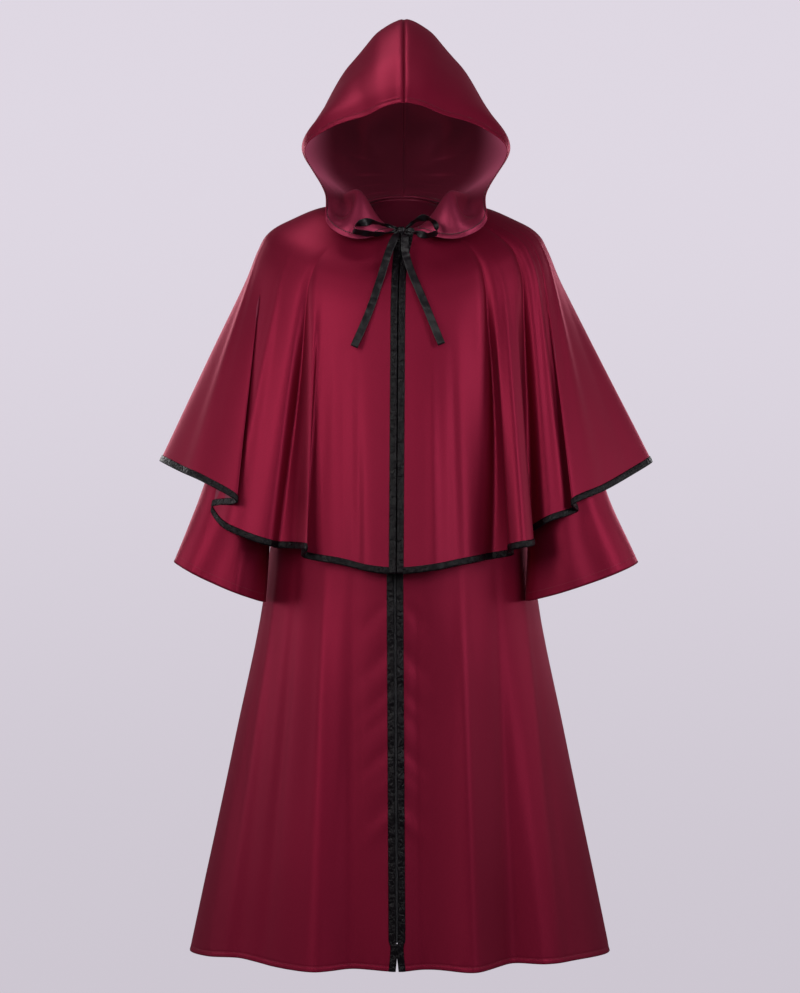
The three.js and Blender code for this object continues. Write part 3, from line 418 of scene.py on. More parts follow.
def carried_on(points):
    """Points with one more at each end, a last step further on."""
    return np.concatenate([[2 * points[0] - points[1]], points, [2 * points[-1] - points[-2]]])


def through(points, place):
    """The spline through points[i] at place i. Each point may be an array of points, for many curves."""
    points = np.asarray(points, float)
    i = np.clip(np.floor(place).astype(int), 0, len(points) - 2)
    t = (place - i).reshape(np.shape(place) + (1,) * (points.ndim - 1))
    ended = carried_on(points)
    return spline(*(ended[i + k] for k in range(4)), t)


def unit(vectors):
    """Vectors over their lengths."""
    return vectors / np.maximum(np.linalg.norm(vectors, axis=-1, keepdims=True), 1e-9)


def wandering(s, seed, wavelength, count=7):
    """A smooth seeded wave along s, between about -1 and 1: a sum of sines of like wavelengths."""
    random = np.random.default_rng(seed)
    lengths = wavelength * random.uniform(0.6, 1.9, count)
    phases = random.uniform(0, 2 * math.pi, count)
    waves = np.sin(2 * math.pi * np.asarray(s)[..., None] / lengths + phases)
    return waves.sum(-1) / math.sqrt(count)


def crumple(a, b, seed, wavelength, lean, spread=0.5, count=9):
    """Seeded soft wrinkles over the plane (a, b): a sum of sines whose crests lean from the b axis by
    about `lean` radians, each bent by a slower wave."""
    random = np.random.default_rng(seed)
    total = 0
    for _ in range(count):
        angle = lean + random.normal(0, spread)
        length = wavelength * random.uniform(0.6, 1.8)
        across = a * math.cos(angle) + b * math.sin(angle)
        along = b * math.cos(angle) - a * math.sin(angle)
        bend = 0.35 * length * np.sin(2 * math.pi * along / (3.1 * length) + random.uniform(0, 6.3))
        total = total + np.sin(2 * math.pi * (across + bend) / length + random.uniform(0, 6.3))
    return total / math.sqrt(count)


def folds(table, turn, at):
    """The height of all folds of a table: each a bell across its own sloping line, faded in and out."""
    turn = np.asarray(turn, float)[..., None]
    at = np.asarray(at, float)[..., None]
    run = table["end"] - table["start"]
    share = (at - table["start"]) / run
    middle = mixed(table["top"], table["low"], np.clip(share, 0, 1))
    away = (turn - middle + 180) % 360 - 180
    fade = smooth_step(share, 0, 0.45) * (1 - smooth_step(share, 0.75, 1.0))
    width = table["wide"] * (0.55 + 0.45 * np.clip(share, 0, 1))
    return (table["high"] * fade * bell(away, width, table["edge"])).sum(-1)


# Forms of the garment

front_line = eased(FRONT_LINE["at"], FRONT_LINE["x"])


def ring_columns(rings):
    """Each column of a ring table as a smooth curve down the body."""
    return {name: eased(rings["at"], rings[name]) for name in RING_HEADING.split()[1:]}


def ring_point(ring, at, turn, grow):
    """A point on a body ring: half sizes side, front and back round its middle, `grow` wider, the height
    running from side_z to front_z or back_z with the square of the cosine of the turn."""
    angle = np.radians(turn)
    ahead = np.cos(angle)
    forward = ahead > 0
    reach = np.where(forward, ring["front"](at), ring["back"](at)) + grow
    level = np.where(forward, ring["front_z"](at), ring["back_z"](at))
    side_z = ring["side_z"](at)
    z = side_z + (level - side_z) * ahead ** 2
    drift = ring["drift"](at)
    shift = np.where(forward, drift + (front_line(z) - drift) * ahead ** 4, drift)
    x = (ring["side"](at) + grow) * np.sin(angle) + shift
    return np.stack([x, ring["middle"](at) - reach * ahead, z], -1)


def wrapped(turn):
    """A turn counted round from the front, brought between -180 and 180."""
    return (np.asarray(turn, float) + 180) % 360 - 180


def hanging(rings, free, hem, grow, soften):
    """Cloth that follows rings down to the share `free` and then falls in straight lines to its hem.
    The bend between is eased by averaging over a short span of heights."""
    ring = ring_columns(rings)
    turns = hem["turn"]
    hem_points = np.stack([hem["x"], hem["y"], hem["z"]], -1)

    def sharp(turn, at):
        start = ring_point(ring, np.minimum(at, free), turn, grow)
        i = np.clip(np.searchsorted(turns, turn, side="left") - 1, 0, len(turns) - 2)
        share = np.clip((turn - turns[i]) / (turns[i + 1] - turns[i]), 0, 1)
        low = through(hem_points, i + share)
        down = np.clip((at - free) / (1 - free), 0, 1)[..., None]
        return start + (low - start) * down

    def form(turn, at):
        turn, at = np.broadcast_arrays(wrapped(turn), np.asarray(at, float))
        reach = np.minimum(soften, np.minimum(at, 1 - at) * 0.9)
        reach = reach * (1 - smooth_step(np.abs(at - free), soften, 2.2 * soften))
        total = sharp(turn, at) * 0.3
        for offset, weight in ((-1, 0.12), (-0.5, 0.23), (0.5, 0.23), (1, 0.12)):
            total = total + sharp(turn, at + offset * reach) * weight
        return total

    return form


class Cloth:
    """A cloth surface: a form by two values, and a relief that stands on it along its outward normal."""

    def __init__(self, form, relief, steps, sign):
        self.form = form
        self.relief = relief
        self.steps = steps
        self.sign = sign

    def bearings(self, u, v):
        """The outward normal and how many millimetres one unit of u and of v reach."""
        du, dv = self.steps
        across = self.form(u + du, v) - self.form(u - du, v)
        low, high = np.maximum(v - dv, 0), np.minimum(v + dv, 1)
        down = self.form(u, high) - self.form(u, low)
        normal = unit(np.cross(down, across)) * self.sign
        reach_u = np.linalg.norm(across, axis=-1) / (2 * du)
        reach_v = np.linalg.norm(down, axis=-1) / np.maximum(high - low, 1e-9)
        return normal, reach_u, reach_v

    def points(self, u, v, off=0.0):
        """The form plus its normal times the relief, and `off` further out."""
        u, v = np.broadcast_arrays(np.asarray(u, float), np.asarray(v, float))
        normal, reach_u, reach_v = self.bearings(u, v)
        height = self.relief(u, v, reach_u, reach_v) + off
        return self.form(u, v) + normal * np.asarray(height)[..., None]


def turn_beside(form, at, distance):
    """The turn where a body form lies a distance beside its closed front, by Newton's steps."""
    at = np.asarray(at, float)
    middle = form(np.zeros_like(at), at)[..., 0]
    turn = np.zeros_like(at)
    for _ in range(4):
        rate = form(turn + 0.5, at)[..., 0] - form(turn - 0.5, at)[..., 0]
        turn = turn + (distance - (form(turn, at)[..., 0] - middle)) / rate
    return turn


robe_form = hanging(ROBE_RINGS, ROBE_HIP, ROBE_HEM, 0.0, 0.07)
cape_form = hanging(CAPE_RINGS, CAPE_FREE, CAPE_HEM, CAPE_GROW, 0.05)


def side_seam(turn, reach_u):
    """A seam's groove: half a millimetre deep and two wide, at the two sides of the body."""
    away = (np.abs(wrapped(turn)) - 90) * reach_u
    return -0.5 * bell(away, 2.0) + 0.35 * bell(np.abs(away) - 5, 3.0)


def hem_line(from_edge, seed, along, depth=0.5):
    """A turned and stitched hem: a fine groove under the stitches, a slight pucker round it, and the cloth
    thicker from there to the edge."""
    away = from_edge - HEM_STITCH
    pucker = 0.22 * wandering(along, seed, 16) * bell(away, 7)
    return -depth * bell(away, 1.1) + 0.25 * smooth_step(9.5 - from_edge, 0, 2.5) + pucker


def robe_relief(turn, at, reach_u, reach_v):
    """Listed folds, slanting puckers off the zip, seams and the hem. Under the capelet it stays flat."""
    shown = smooth_step(at, 0.44, 0.56)
    bent = wrapped(turn)
    from_front = np.abs(bent) * reach_u
    slant = (1 - at) * reach_v + 0.9 * from_front
    pucker = wandering(slant, 5, 46) * bell(from_front - 14, 34)
    pucker = pucker * smooth_step(at, 0.5, 0.6) * (1 - smooth_step(at, 0.8, 0.92))
    fine = 0.3 * crumple(from_front, (1 - at) * reach_v, 11, 230, 0.35)
    total = folds(ROBE_FOLDS, turn, at) + 0.55 * pucker + fine
    total = total + hem_line((1 - at) * reach_v, 3, bent * reach_u)
    return shown * total + side_seam(turn, reach_u) * shown


def cape_relief(turn, at, reach_u, reach_v):
    """Listed folds, fine lines down the shoulders and gathers along the bound edges."""
    bent = wrapped(turn)
    from_front = np.abs(bent) * reach_u
    from_hem = (1 - at) * reach_v
    edge = bell(from_front, 26) * 0.16 * wandering(from_hem, 21, 30)
    low = bell(from_hem, 16) * 0.12 * wandering(bent * reach_u, 22, 26)
    fine = 0.35 * crumple(bent * 3.2, at * 560, 23, 190, 0.25, 0.4)
    calm = smooth_step(at, 0.03, 0.14)
    return calm * (folds(CAPE_FOLDS, turn, at) + edge + low + fine) + side_seam(turn, reach_u) * calm


robe = Cloth(robe_form, robe_relief, (0.25, 0.002), 1)
cape = Cloth(cape_form, cape_relief, (0.25, 0.002), 1)


def armhole_cut(at):
    """Degrees that the armhole takes from a panel: its half width times the sine of its share, ^ 0.8."""
    share = np.clip((at - ROBE_SHOULDER) / (ROBE_UNDERARM - ROBE_SHOULDER), 0, 1)
    return ARMHOLE_TURN * np.sin(math.pi * share) ** 0.8


def armhole_point(side, turn):
    """The sleeve's seam ring, just inside the armhole's edge and just out of the robe's face."""
    ahead = turn <= 180
    share = (1 - np.cos(np.radians(turn))) / 2
    at = mixed(ROBE_SHOULDER, ROBE_UNDERARM, share)
    cut = np.maximum(armhole_cut(at) - 0.35, 0)
    body_turn = side * np.where(ahead, 90 - cut, 90 + cut)
    normal, _, _ = robe.bearings(body_turn, at)
    point = robe_form(body_turn, at) + normal * 0.5
    point[..., 2] -= 0.45 * np.cos(np.radians(turn))
    return point


def sleeve_form(side):
    """A sleeve of oval rings from its outer end (turn 0) over the front (90) to the inner end (180)."""
    rings = SLEEVE_RINGS[side]
    ring = {name: eased(rings["at"], rings[name]) for name in SLEEVE_HEADING.split()[1:]}
    out = eased(CUFF_WAVES["turn"], CUFF_WAVES["out"])
    drop = eased(CUFF_WAVES["turn"], CUFF_WAVES["drop"])
    first = rings["at"][0]

    def form(turn, at):
        turn, at = np.broadcast_arrays(np.asarray(turn, float) % 360, np.asarray(at, float))
        place = np.maximum(at, first)
        angle = np.radians(turn)
        across = (1 - np.cos(angle)) / 2
        wave = smooth_step(at, 0.4, 1)
        point = np.stack([
            mixed(ring["outer_x"](place), ring["inner_x"](place), across),
            ring["y"](place) - (ring["depth"](place) + out(turn) * wave) * np.sin(angle),
            mixed(ring["outer_z"](place), ring["inner_z"](place), across) - drop(turn) * wave,
        ], -1)
        share = np.clip(at / first, 0, 1)[..., None]
        return mixed(armhole_point(side, turn), point, share)

    return form


def sleeve_relief(side):
    """Soft crumples and a stitched hem, shown below the capelet only."""
    def relief(turn, at, reach_u, reach_v):
        from_hem = (1 - at) * reach_v
        shown = smooth_step(at, 0.6, 0.8)
        along = turn * reach_u
        fine = 0.8 * crumple(turn * 1.6, at * 420, 31 + side, 85, 0.3, 0.6)
        kink = 2.4 * bell(turn - (112 if side < 0 else 250), 7) * bell(from_hem, 45)
        crest = 2.2 * bell(turn - (62 if side > 0 else 75), 14) * smooth_step(at, 0.5, 0.9)
        return shown * (fine + kink + crest + hem_line(from_hem + 5, 33, along, 0.6))
    return relief


sleeves = {
    side: Cloth(sleeve_form(side), sleeve_relief(side), (1.0, 0.01), -side) for side in (-1, 1)
}
cape_ring = ring_columns(CAPE_RINGS)
hood_neck = eased(HOOD_AT, HOOD_NECK)


def hood_form(side):
    """Half the hood: arches from the face edge (u = 0) to the nape (u = 1), each a curve through its places
    from the neck seam (v = 0) to the centre seam (v = 1), carried on to its mirror image beyond the seam."""
    places = HOOD_ARCHES.copy()
    places[..., 0] *= -side
    sway = np.array(HOOD_SWAY)[None]
    places[..., 0] += mixed(sway, HOOD_SWAY[-1], HOOD_AT[:, None])
    count = len(HOOD_PLACES)

    def form(u, v):
        u, v = np.broadcast_arrays(np.asarray(u, float), np.asarray(v, float))
        shape = u.shape
        u = np.clip(u.ravel(), 0, 1)
        v = np.clip(v.ravel(), 0, 1)
        i = np.clip(np.searchsorted(HOOD_AT, u, side="left") - 1, 0, len(HOOD_AT) - 2)
        along = i + np.clip((u - HOOD_AT[i]) / (HOOD_AT[i + 1] - HOOD_AT[i]), 0, 1)
        start = ring_point(cape_ring, np.zeros_like(u), side * hood_neck(u), CAPE_GROW)
        start[:, 2] += HOOD_RISE
        half = [start] + [through(places[:, k], along) for k in range(count)]
        half = np.stack(half)
        mirror = half[:-1][::-1].copy()
        mirror[..., 0] = 2 * half[-1, :, 0] - mirror[..., 0]
        arch = np.concatenate([half, mirror])
        return across_arches(arch, v * count).reshape(shape + (3,))

    return form


def across_arches(arch, place):
    """The point of each of many curves, arch[:, k], at its own place."""
    i = np.clip(np.floor(place).astype(int), 0, len(arch) - 2)
    ended = carried_on(arch)
    which = np.arange(arch.shape[1])
    return spline(*(ended[i + k, which] for k in range(4)), (place - i)[:, None])


def hood_relief(side):
    """The centre seam's groove, the stitched face edge, soft shallow wrinkles, and a hollow behind each
    lapel's peak, where the turned-out cloth buckles."""
    def relief(u, v, reach_u, reach_v):
        from_crown = (1 - v) * reach_v
        from_face = u * reach_u
        seam = -0.9 * bell(from_crown, 1.6) + 0.5 * bell(from_crown - 6, 4)
        fine = 0.8 * crumple(u * 420, v * 460, 41 + side, 130, 0.8, 0.7)
        drape = 1.6 * bell(from_crown - 34 - 60 * u, 20) - 1.4 * bell(from_crown - 78 - 70 * u, 24)
        calm = smooth_step((1 - u) * reach_u, 0, 40) * smooth_step(from_crown, 0, 14)
        shown = smooth_step(v, 0.0, 0.12)
        edge = hem_line(from_face + 1, 43, v * reach_v, 0.3)
        hollow = 21.0 * bell(u - 0.17, 0.11) * bell(v - 0.25, 0.048) * smooth_step(u, 0.0, 0.1)
        return shown * (seam + calm * (fine + drape) + hollow) + smooth_step(v, 0, 0.04) * edge
    return relief


hoods = {
    side: Cloth(hood_form(side), hood_relief(side), (0.004, 0.01), -side) for side in (-1, 1)
}


# Meshes

def new_object(name, vertices, faces, uv=None):
    """A mesh object at the origin, from vertices in millimetres, with a UV map in metres if given."""
    mesh = bpy.data.meshes.new(name)
    mesh.vertices.add(len(vertices))
    mesh.vertices.foreach_set("co", (np.asarray(vertices, np.float32) * MM).ravel())
    faces = np.asarray(faces, np.int32)
    mesh.loops.add(faces.size)
    mesh.loops.foreach_set("vertex_index", faces.ravel())
    mesh.polygons.add(len(faces))
    mesh.polygons.foreach_set("loop_start", np.arange(len(faces), dtype=np.int32) * faces.shape[1])
    mesh.update(calc_edges=True)
    mesh.validate()
    mesh.polygons.foreach_set("use_smooth", np.ones(len(mesh.polygons), bool))
    if uv is not None:
        layer = mesh.uv_layers.new(name="cloth")
        layer.data.foreach_set("uv", (np.asarray(uv, np.float32)[faces.ravel()] * MM).ravel())
    made = bpy.data.objects.new(name, mesh)
    bpy.context.scene.collection.objects.link(made)
    return made


def grid_faces(rows, count, closed=False, flip=False, first=0):
    """The four-sided faces between neighbours of a grid; closed joins its last column to its first."""
    r = np.arange(rows - 1)[:, None]
    c = np.arange(count if closed else count - 1)[None]
    after = (c + 1) % count
    quads = np.stack([r * count + c, (r + 1) * count + c, (r + 1) * count + after, r * count + after], -1)
    quads = quads.reshape(-1, 4) + first
    return quads[:, ::-1] if flip else quads


def unrolled(points):
    """UV values that follow the cloth: lengths along each row from its middle, and down each column."""
    across = np.linalg.norm(np.diff(points, axis=1), axis=-1)
    u = np.concatenate([np.zeros((len(points), 1)), across.cumsum(1)], 1)
    u = u - u[:, [points.shape[1] // 2]]
    down = np.linalg.norm(np.diff(points, axis=0), axis=-1).mean(1)
    v = np.concatenate([[0], down.cumsum()])[:, None] + np.zeros_like(u)
    return np.stack([u, v], -1)


def wall_shares(points, wall, closed, sign):
    """How much of its wall each point can carry: the radius of its outward bend over one and a half walls,
    so that the inner face never crosses the outer one in a tight fold."""
    wrap = np.concatenate([points[:, -1:], points, points[:, :1]], 1) if closed else np.concatenate(
        [2 * points[:, :1] - points[:, 1:2], points, 2 * points[:, -1:] - points[:, -2:-1]], 1)
    before, after = points - wrap[:, :-2], wrap[:, 2:] - points
    down = np.gradient(points, axis=0)
    normal = unit(np.cross(down, before + after)) * sign
    reach = (np.linalg.norm(before, axis=-1) + np.linalg.norm(after, axis=-1)) / 2
    bend = -((after - before) * normal).sum(-1) / np.maximum(reach, 1e-6) ** 2
    share = np.clip(1 / np.maximum(bend, 1e-6) / (1.5 * wall), 0.12, 1)
    for _ in range(2):
        beside = np.pad(share, 1, mode="edge")
        share = np.min([share, beside[1:-1, :-2], beside[1:-1, 2:], beside[:-2, 1:-1], beside[2:, 1:-1]], 0)
    return share


def cloth_piece(name, points, looks, slot, closed=False, flip=False, held="hung", wall=0.9):
    """A cloth wall on its surface: the outer face lies on the points, the inner face `wall` behind them."""
    rows, count = points.shape[:2]
    uv = unrolled(points)
    made = new_object(name, points.reshape(-1, 3), grid_faces(rows, count, closed, flip), uv.reshape(-1, 2))
    for look in looks:
        made.data.materials.append(look)
    thick = made.modifiers.new("wall", "SOLIDIFY")
    thick.thickness = wall * MM
    thick.offset = -1
    thick.use_even_offset = False
    if len(looks) > 1:
        thick.material_offset = 1
        share = np.round(wall_shares(points, wall, closed, -1 if flip else 1).ravel() * 8)
        group = made.vertex_groups.new(name="wall")
        for level in np.unique(share):
            group.add(np.flatnonzero(share == level).tolist(), max(level, 1) / 8, "REPLACE")
        thick.vertex_group = "wall"
    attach(made, BODY)
    return made


def bars(paths, radii, sides=5):
    """Many small round bars at once. paths[k, ring] are their centre points and radii[ring] their radii;
    each ring is a circle square to its bar. Returns vertices and faces, with a fan closing each end."""
    along = unit(np.gradient(paths, axis=1))
    guide = np.where(np.abs(along[..., 2:3]) > 0.8, [[[1.0, 0, 0]]], [[[0, 0, 1.0]]])
    first = unit(np.cross(along, guide))
    second = np.cross(along, first)
    angle = np.arange(sides) * 2 * math.pi / sides
    ring = first[:, :, None] * np.cos(angle)[:, None] + second[:, :, None] * np.sin(angle)[:, None]
    points = paths[:, :, None] + ring * np.asarray(radii)[None, :, None, None]
    count, rings = paths.shape[:2]
    face = grid_faces(rings, sides, closed=True)
    every = face[None] + (np.arange(count) * rings * sides)[:, None, None]
    return points.reshape(-1, 3), every.reshape(-1, 4)


def aimed(direction):
    """The turns that point an object's -Z along a direction."""
    x, y, z = unit(np.asarray(direction, float))
    return (math.acos(-z), 0, math.atan2(-x, y))


# Finishes

class Wire:
    """A shader socket that stands in sums and products; each operator adds one Math node."""

    def __init__(self, finish, socket):
        self.finish = finish
        self.socket = socket

    def math(self, operation, *values):
        """One Math node on the values."""
        return self.finish.node("ShaderNodeMath", {"operation": operation}, dict(enumerate(values)))

    def __add__(self, other):
        return self.math("ADD", self, other)

    __radd__ = __add__

    def __sub__(self, other):
        return self.math("SUBTRACT", self, other)

    def __rsub__(self, other):
        return self.math("SUBTRACT", other, self)

    def __mul__(self, other):
        return self.math("MULTIPLY", self, other)

    __rmul__ = __mul__

    def __pow__(self, other):
        return self.math("POWER", self, other)

    def between(self, low, high):
        """0 to 1 as the value goes from low to high, held there outside."""
        inputs = {"Value": self, "From Min": low, "From Max": high}
        return self.finish.node("ShaderNodeMapRange", {"interpolation_type": "SMOOTHSTEP"}, inputs)


class Finish:
    """A material's nodes: one Principled shader, and a method that makes any other node."""

    def __init__(self, name, **values):
        self.material = bpy.data.materials.new(name)
        self.material.use_nodes = True
        self.tree = self.material.node_tree
        self.shader = self.tree.nodes["Principled BSDF"]
        for key, value in values.items():
            self.set(key.replace("_", " "), value)

    def set(self, key, value):
        """A socket of the shader takes a value or a link."""
        self.join(self.shader.inputs[key], value)

    def join(self, socket, value):
        """Any socket takes a value or a link."""
        if isinstance(value, Wire):
            self.tree.links.new(value.socket, socket)
        else:
            socket.default_value = value

    def node(self, kind, settings=None, inputs=None, output=0):
        """A node of any kind: its settings first, then its sockets' values or links. Returns one output."""
        made = self.tree.nodes.new(kind)
        for key, value in (settings or {}).items():
            setattr(made, key, value)
        for key, value in (inputs or {}).items():
            self.join(made.inputs[key], value)
        return Wire(self, made.outputs[output])

    def mix(self, share, first, second):
        """A colour between two, by share."""
        inputs = {"Factor": share, 6: first, 7: second}
        return self.node("ShaderNodeMix", {"data_type": "RGBA"}, inputs, 2)

    def place(self, kind="Object", scale=(1, 1, 1), turn=0.0):
        """Object or UV coordinates, turned in the plane and scaled."""
        found = self.node("ShaderNodeTexCoord", output=kind)
        inputs = {"Vector": found, "Scale": scale, "Rotation": (0, 0, turn)}
        return self.node("ShaderNodeMapping", {}, inputs)

    def noise(self, vector, scale, detail=2.0, distortion=0.0):
        """A noise from 0 to 1 of the given scale and depth of detail."""
        inputs = {"Vector": vector, "Scale": scale, "Detail": detail, "Distortion": distortion}
        return self.node("ShaderNodeTexNoise", {}, inputs)

    def bump(self, height, strength, distance):
        """The shader's normal leans with a height, `distance` metres from its lowest to its highest."""
        inputs = {"Height": height, "Strength": strength, "Distance": distance}
        self.set("Normal", self.node("ShaderNodeBump", {}, inputs))


def shaded(tone, share=1.0):
    """A colour made darker or lighter by a share, with its alpha at 1."""
    return (*(share * part for part in tone[:3]), 1.0)


def satin(name, deep, bright, roughness, sheen, tint, specular, metallic, lit_through=None):
    """Satin of two near colours: slow cloudy changes of shade, slubs along the warp, and a fine diagonal
    weave that tints and dents it. With `lit_through`, the cloth glows with painted light: an emission in
    that colour stands for light coming through the thin cloth, full where the hood's sides stand out and
    faint over the rest."""
    made = Finish(name, Sheen_Weight=sheen, Sheen_Roughness=0.45, Sheen_Tint=tint,
                  Specular_IOR_Level=specular, Specular_Tint=tint, Metallic=metallic)
    clouds = made.noise(made.place(scale=(3.2, 3.2, 1.1)), 1.0, 3.0)
    slubs = made.noise(made.place("UV", (900, 60, 1)), 1.0, 2.0)
    weave = made.noise(made.place("UV", (300, 900, 1), math.radians(38)), 1.0, 2.0)
    shade = clouds.between(0.3, 0.7) * 0.5 + weave.between(0.25, 0.75) * 0.35 + slubs * 0.15
    # Painted glow: an emission, not a lamp, stands for light coming through the thin cloth. It is full in the
    # mask of the hood's sides and at 0.07 of it elsewhere.
    if lit_through:
        place = {"Vector": made.place()}
        aside, forward, level = (made.node("ShaderNodeSeparateXYZ", {}, place, axis) for axis in "XYZ")
        sides = (aside * aside) ** 0.5
        mask = sides.between(0.065, 0.105) * forward.between(0.07, -0.02) * level.between(0.0, 0.05)
        made.set("Emission Color", made.mix(mask, shaded(lit_through, 0.07), shaded(lit_through)))
        made.set("Emission Strength", 1.0)
    made.set("Base Color", made.mix(shade, deep, bright))
    made.set("Roughness", weave * 0.10 + clouds * 0.10 + (roughness - 0.10))
    made.bump(weave * 0.7 + slubs * 0.3, 0.35, 0.00035)
    return made.material


def black_satin(name, deep, bright, roughness, crease, specular):
    """Black satin ribbon: cross ribs by its own map, and a soft crinkle that breaks its highlights and
    lightens its colour on its crests, a painted highlight.
    """
    made = Finish(name, Specular_IOR_Level=specular)
    crinkle = made.noise(made.place(scale=(1, 1, 1)), 115.0, 3.0, 0.9)
    ribs = made.noise(made.place("UV", (120, 1800, 1)), 1.0, 1.0)
    # Painted highlight: the colour runs from deep to bright as the crinkle rises, standing for glints on its
    # crests.
    made.set("Base Color", made.mix(crinkle.between(0.35, 0.75), deep, bright))
    made.set("Roughness", crinkle * 0.22 + (roughness - 0.1))
    made.bump(crinkle * 0.9 + ribs * 0.1, 1.0, crease)
    return made.material


def thread(name, tone):
    """Sewing thread, its twist a fine noise in its colour and its bump."""
    made = Finish(name, Roughness=0.6, Sheen_Weight=0.2)
    twist = made.noise(made.place(scale=(1, 1, 1)), 1600.0, 2.0)
    made.set("Base Color", made.mix(twist, shaded(tone), shaded(tone, 0.55)))
    made.bump(twist, 0.5, 0.0002)
    return made.material


def tape(name):
    """Woven zip tape: ribs along and across it."""
    made = Finish(name, Roughness=0.62)
    ribs = made.noise(made.place(scale=(1500, 1500, 220)), 1.0, 2.0)
    made.set("Base Color", made.mix(ribs, shaded((0.006, 0.006, 0.008)), shaded((0.02, 0.019, 0.022))))
    made.bump(ribs, 0.6, 0.0003)
    return made.material


def coil(name):
    """Black nylon, slightly worn."""
    made = Finish(name, Roughness=0.34, Specular_IOR_Level=0.5)
    wear = made.noise(made.place(), 400.0, 2.0)
    made.set("Base Color", made.mix(wear, shaded((0.008, 0.008, 0.010)), shaded((0.022, 0.021, 0.025))))
    made.bump(wear, 0.3, 0.0002)
    return made.material


def metal(name, tone, roughness, metallic=1.0):
    """Cast metal: a faint orange-peel skin and rubbed, duller patches."""
    made = Finish(name, Metallic=metallic)
    rubbed = made.noise(made.place(), 350.0, 3.0)
    made.set("Base Color", made.mix(rubbed.between(0.4, 0.8), shaded(tone), shaded(tone, 0.7)))
    made.set("Roughness", rubbed * 0.18 + roughness)
    made.bump(rubbed, 0.15, 0.0002)
    return made.material


LOOKS = {}


def make_looks(shades):
    """All the finishes, by name, in the colours of the settings."""
    face, reverse, trim = shades.satin_face, shades.satin_reverse, shades.black_satin
    LOOKS["face"] = satin("satin_face", shaded(face, 0.72), shaded(face, 1.12),
                          0.47, 0.05, (1.0, 0.45, 0.56, 1), 0.42, 0.6)
    LOOKS["reverse"] = satin("satin_reverse", shaded(reverse, 0.75), shaded(reverse, 1.15),
                             0.46, 0.16, (1.0, 0.5, 0.65, 1), 0.4, 0.15)
    # The lining's last colour is a painted glow, standing for light coming through the hood's thin sides.
    LOOKS["lining"] = satin("hood_lining", shaded(reverse, 0.75), shaded(reverse, 1.15),
                            0.38, 0.06, (1.0, 0.45, 0.6, 1), 0.4, 0.45, (0.175, 0.038, 0.068))
    # The bindings' and the ribbon's lighter colour, on their crinkles' crests, is a painted highlight.
    LOOKS["binding"] = black_satin("binding_satin", shaded(trim, 0.6), shaded(trim, 1.3), 0.30, 0.0030, 0.17)
    LOOKS["ribbon"] = black_satin("ribbon_satin", shaded(trim, 0.9), shaded(trim, 1.6), 0.34, 0.0006, 0.34)
    LOOKS["red_thread"] = thread("red_thread", shaded(face, 0.8))
    LOOKS["dark_thread"] = thread("dark_thread", shaded(face, 0.12))
    LOOKS["tape"] = tape("zip_tape")
    LOOKS["coil"] = coil("zip_coil")
    LOOKS["bright"] = metal("slider_metal", (0.62, 0.62, 0.64), 0.16)
    LOOKS["enamel"] = metal("tab_enamel", (0.03, 0.03, 0.033), 0.28, 0.5)


def relook(node, look):
    """A carried-over solid takes a finish in all its slots."""
    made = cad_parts[node]
    made.data.materials.clear()
    made.data.materials.append(LOOKS[look])


# Panels, trims and stitches

def shares(first, last, count):
    """Even steps from first to last."""
    return np.linspace(first, last, count)


def panel_grid(cloth, at, left, right, count):
    """Points on a cloth between two edges whose turns are given for each height."""
    across = shares(0, 1, count)[None]
    turn = left[:, None] + (right - left)[:, None] * across
    return cloth.points(turn, at[:, None] + 0 * across)


def robe_edge(at):
    """Half the gap between the robe's front edges: even along the zip, and a narrow opening V below it."""
    below = ZIP_BOTTOM - robe_form(0 * at, at)[..., 2]
    closed = mixed(ROBE_EDGE, 0.5, smooth_step(below, -12, 2))
    return closed + 3.6 * smooth_step(below, 2, 50)


def robe_panel(side):
    """A robe front's grid, from its edge beside the zip to the side seam and the armhole."""
    at = np.concatenate([shares(0, 0.94, 140), shares(0.94, 1, 40)[1:]])
    edge = turn_beside(robe_form, at, side * robe_edge(at))
    seam = side * (90.0 - armhole_cut(at))
    left, right = (edge, seam) if side > 0 else (seam, edge)
    return panel_grid(robe, at, left, right, 92)


def robe_back_grid():
    """The robe back's grid, from side seam to side seam."""
    at = shares(0, 1, 170)
    right = 90.0 + armhole_cut(at)
    left = 270.0 - armhole_cut(at)
    return panel_grid(robe, at, right, left, 150)


def cape_edge(at):
    """Half the gap between the capelet's front edges, wider at the top."""
    z = cape_form(0 * at, at)[..., 2]
    return mixed(CAPE_EDGE, CAPE_EDGE_TOP, smooth_step(z, CAPE_EDGE_CLOSED, ZIP_TOP))


def cape_panel(side):
    """A capelet front's grid, from its edge to the side seam."""
    at = shares(0, 1, 130)
    edge = turn_beside(cape_form, at, side * cape_edge(at))
    seam = side * 90.0 + 0 * at
    left, right = (edge, seam) if side > 0 else (seam, edge)
    return panel_grid(cape, at, left, right, 230)


def cape_back_grid():
    """The capelet back's grid, from side seam to side seam."""
    at = shares(0, 1, 120)
    return panel_grid(cape, at, 90.0 + 0 * at, 270.0 + 0 * at, 230)


def sleeve_grid(side):
    """A sleeve's grid, closed round, finer below the elbow."""
    at = np.concatenate([shares(0, 0.5, 30), shares(0.5, 1, 70)[1:]])
    turn = shares(0, 360, 145)[:-1]
    return sleeves[side].points(turn[None] + 0 * at[:, None], at[:, None] + 0 * turn[None])


def hood_grid(side):
    """A hood half's grid, finer near the face edge, with every point kept on its side of the seam."""
    back = shares(0, 1, 130) ** 1.15
    up = shares(0, 1, 130)
    points = hoods[side].points(back[None] + 0 * up[:, None], up[:, None] + 0 * back[None])
    limit = hoods[side].form(np.ones_like(up), up)[:, 0]
    keep = np.maximum if side > 0 else np.minimum
    points[..., 0] = keep(points[..., 0], limit[:, None])
    points[:, -1, 0] = limit
    tucked = ring_point(cape_ring, np.zeros_like(back), side * hood_neck(back), CAPE_GROW - 0.4)
    tucked[:, 2] -= 1.2
    return np.concatenate([tucked[None], points])


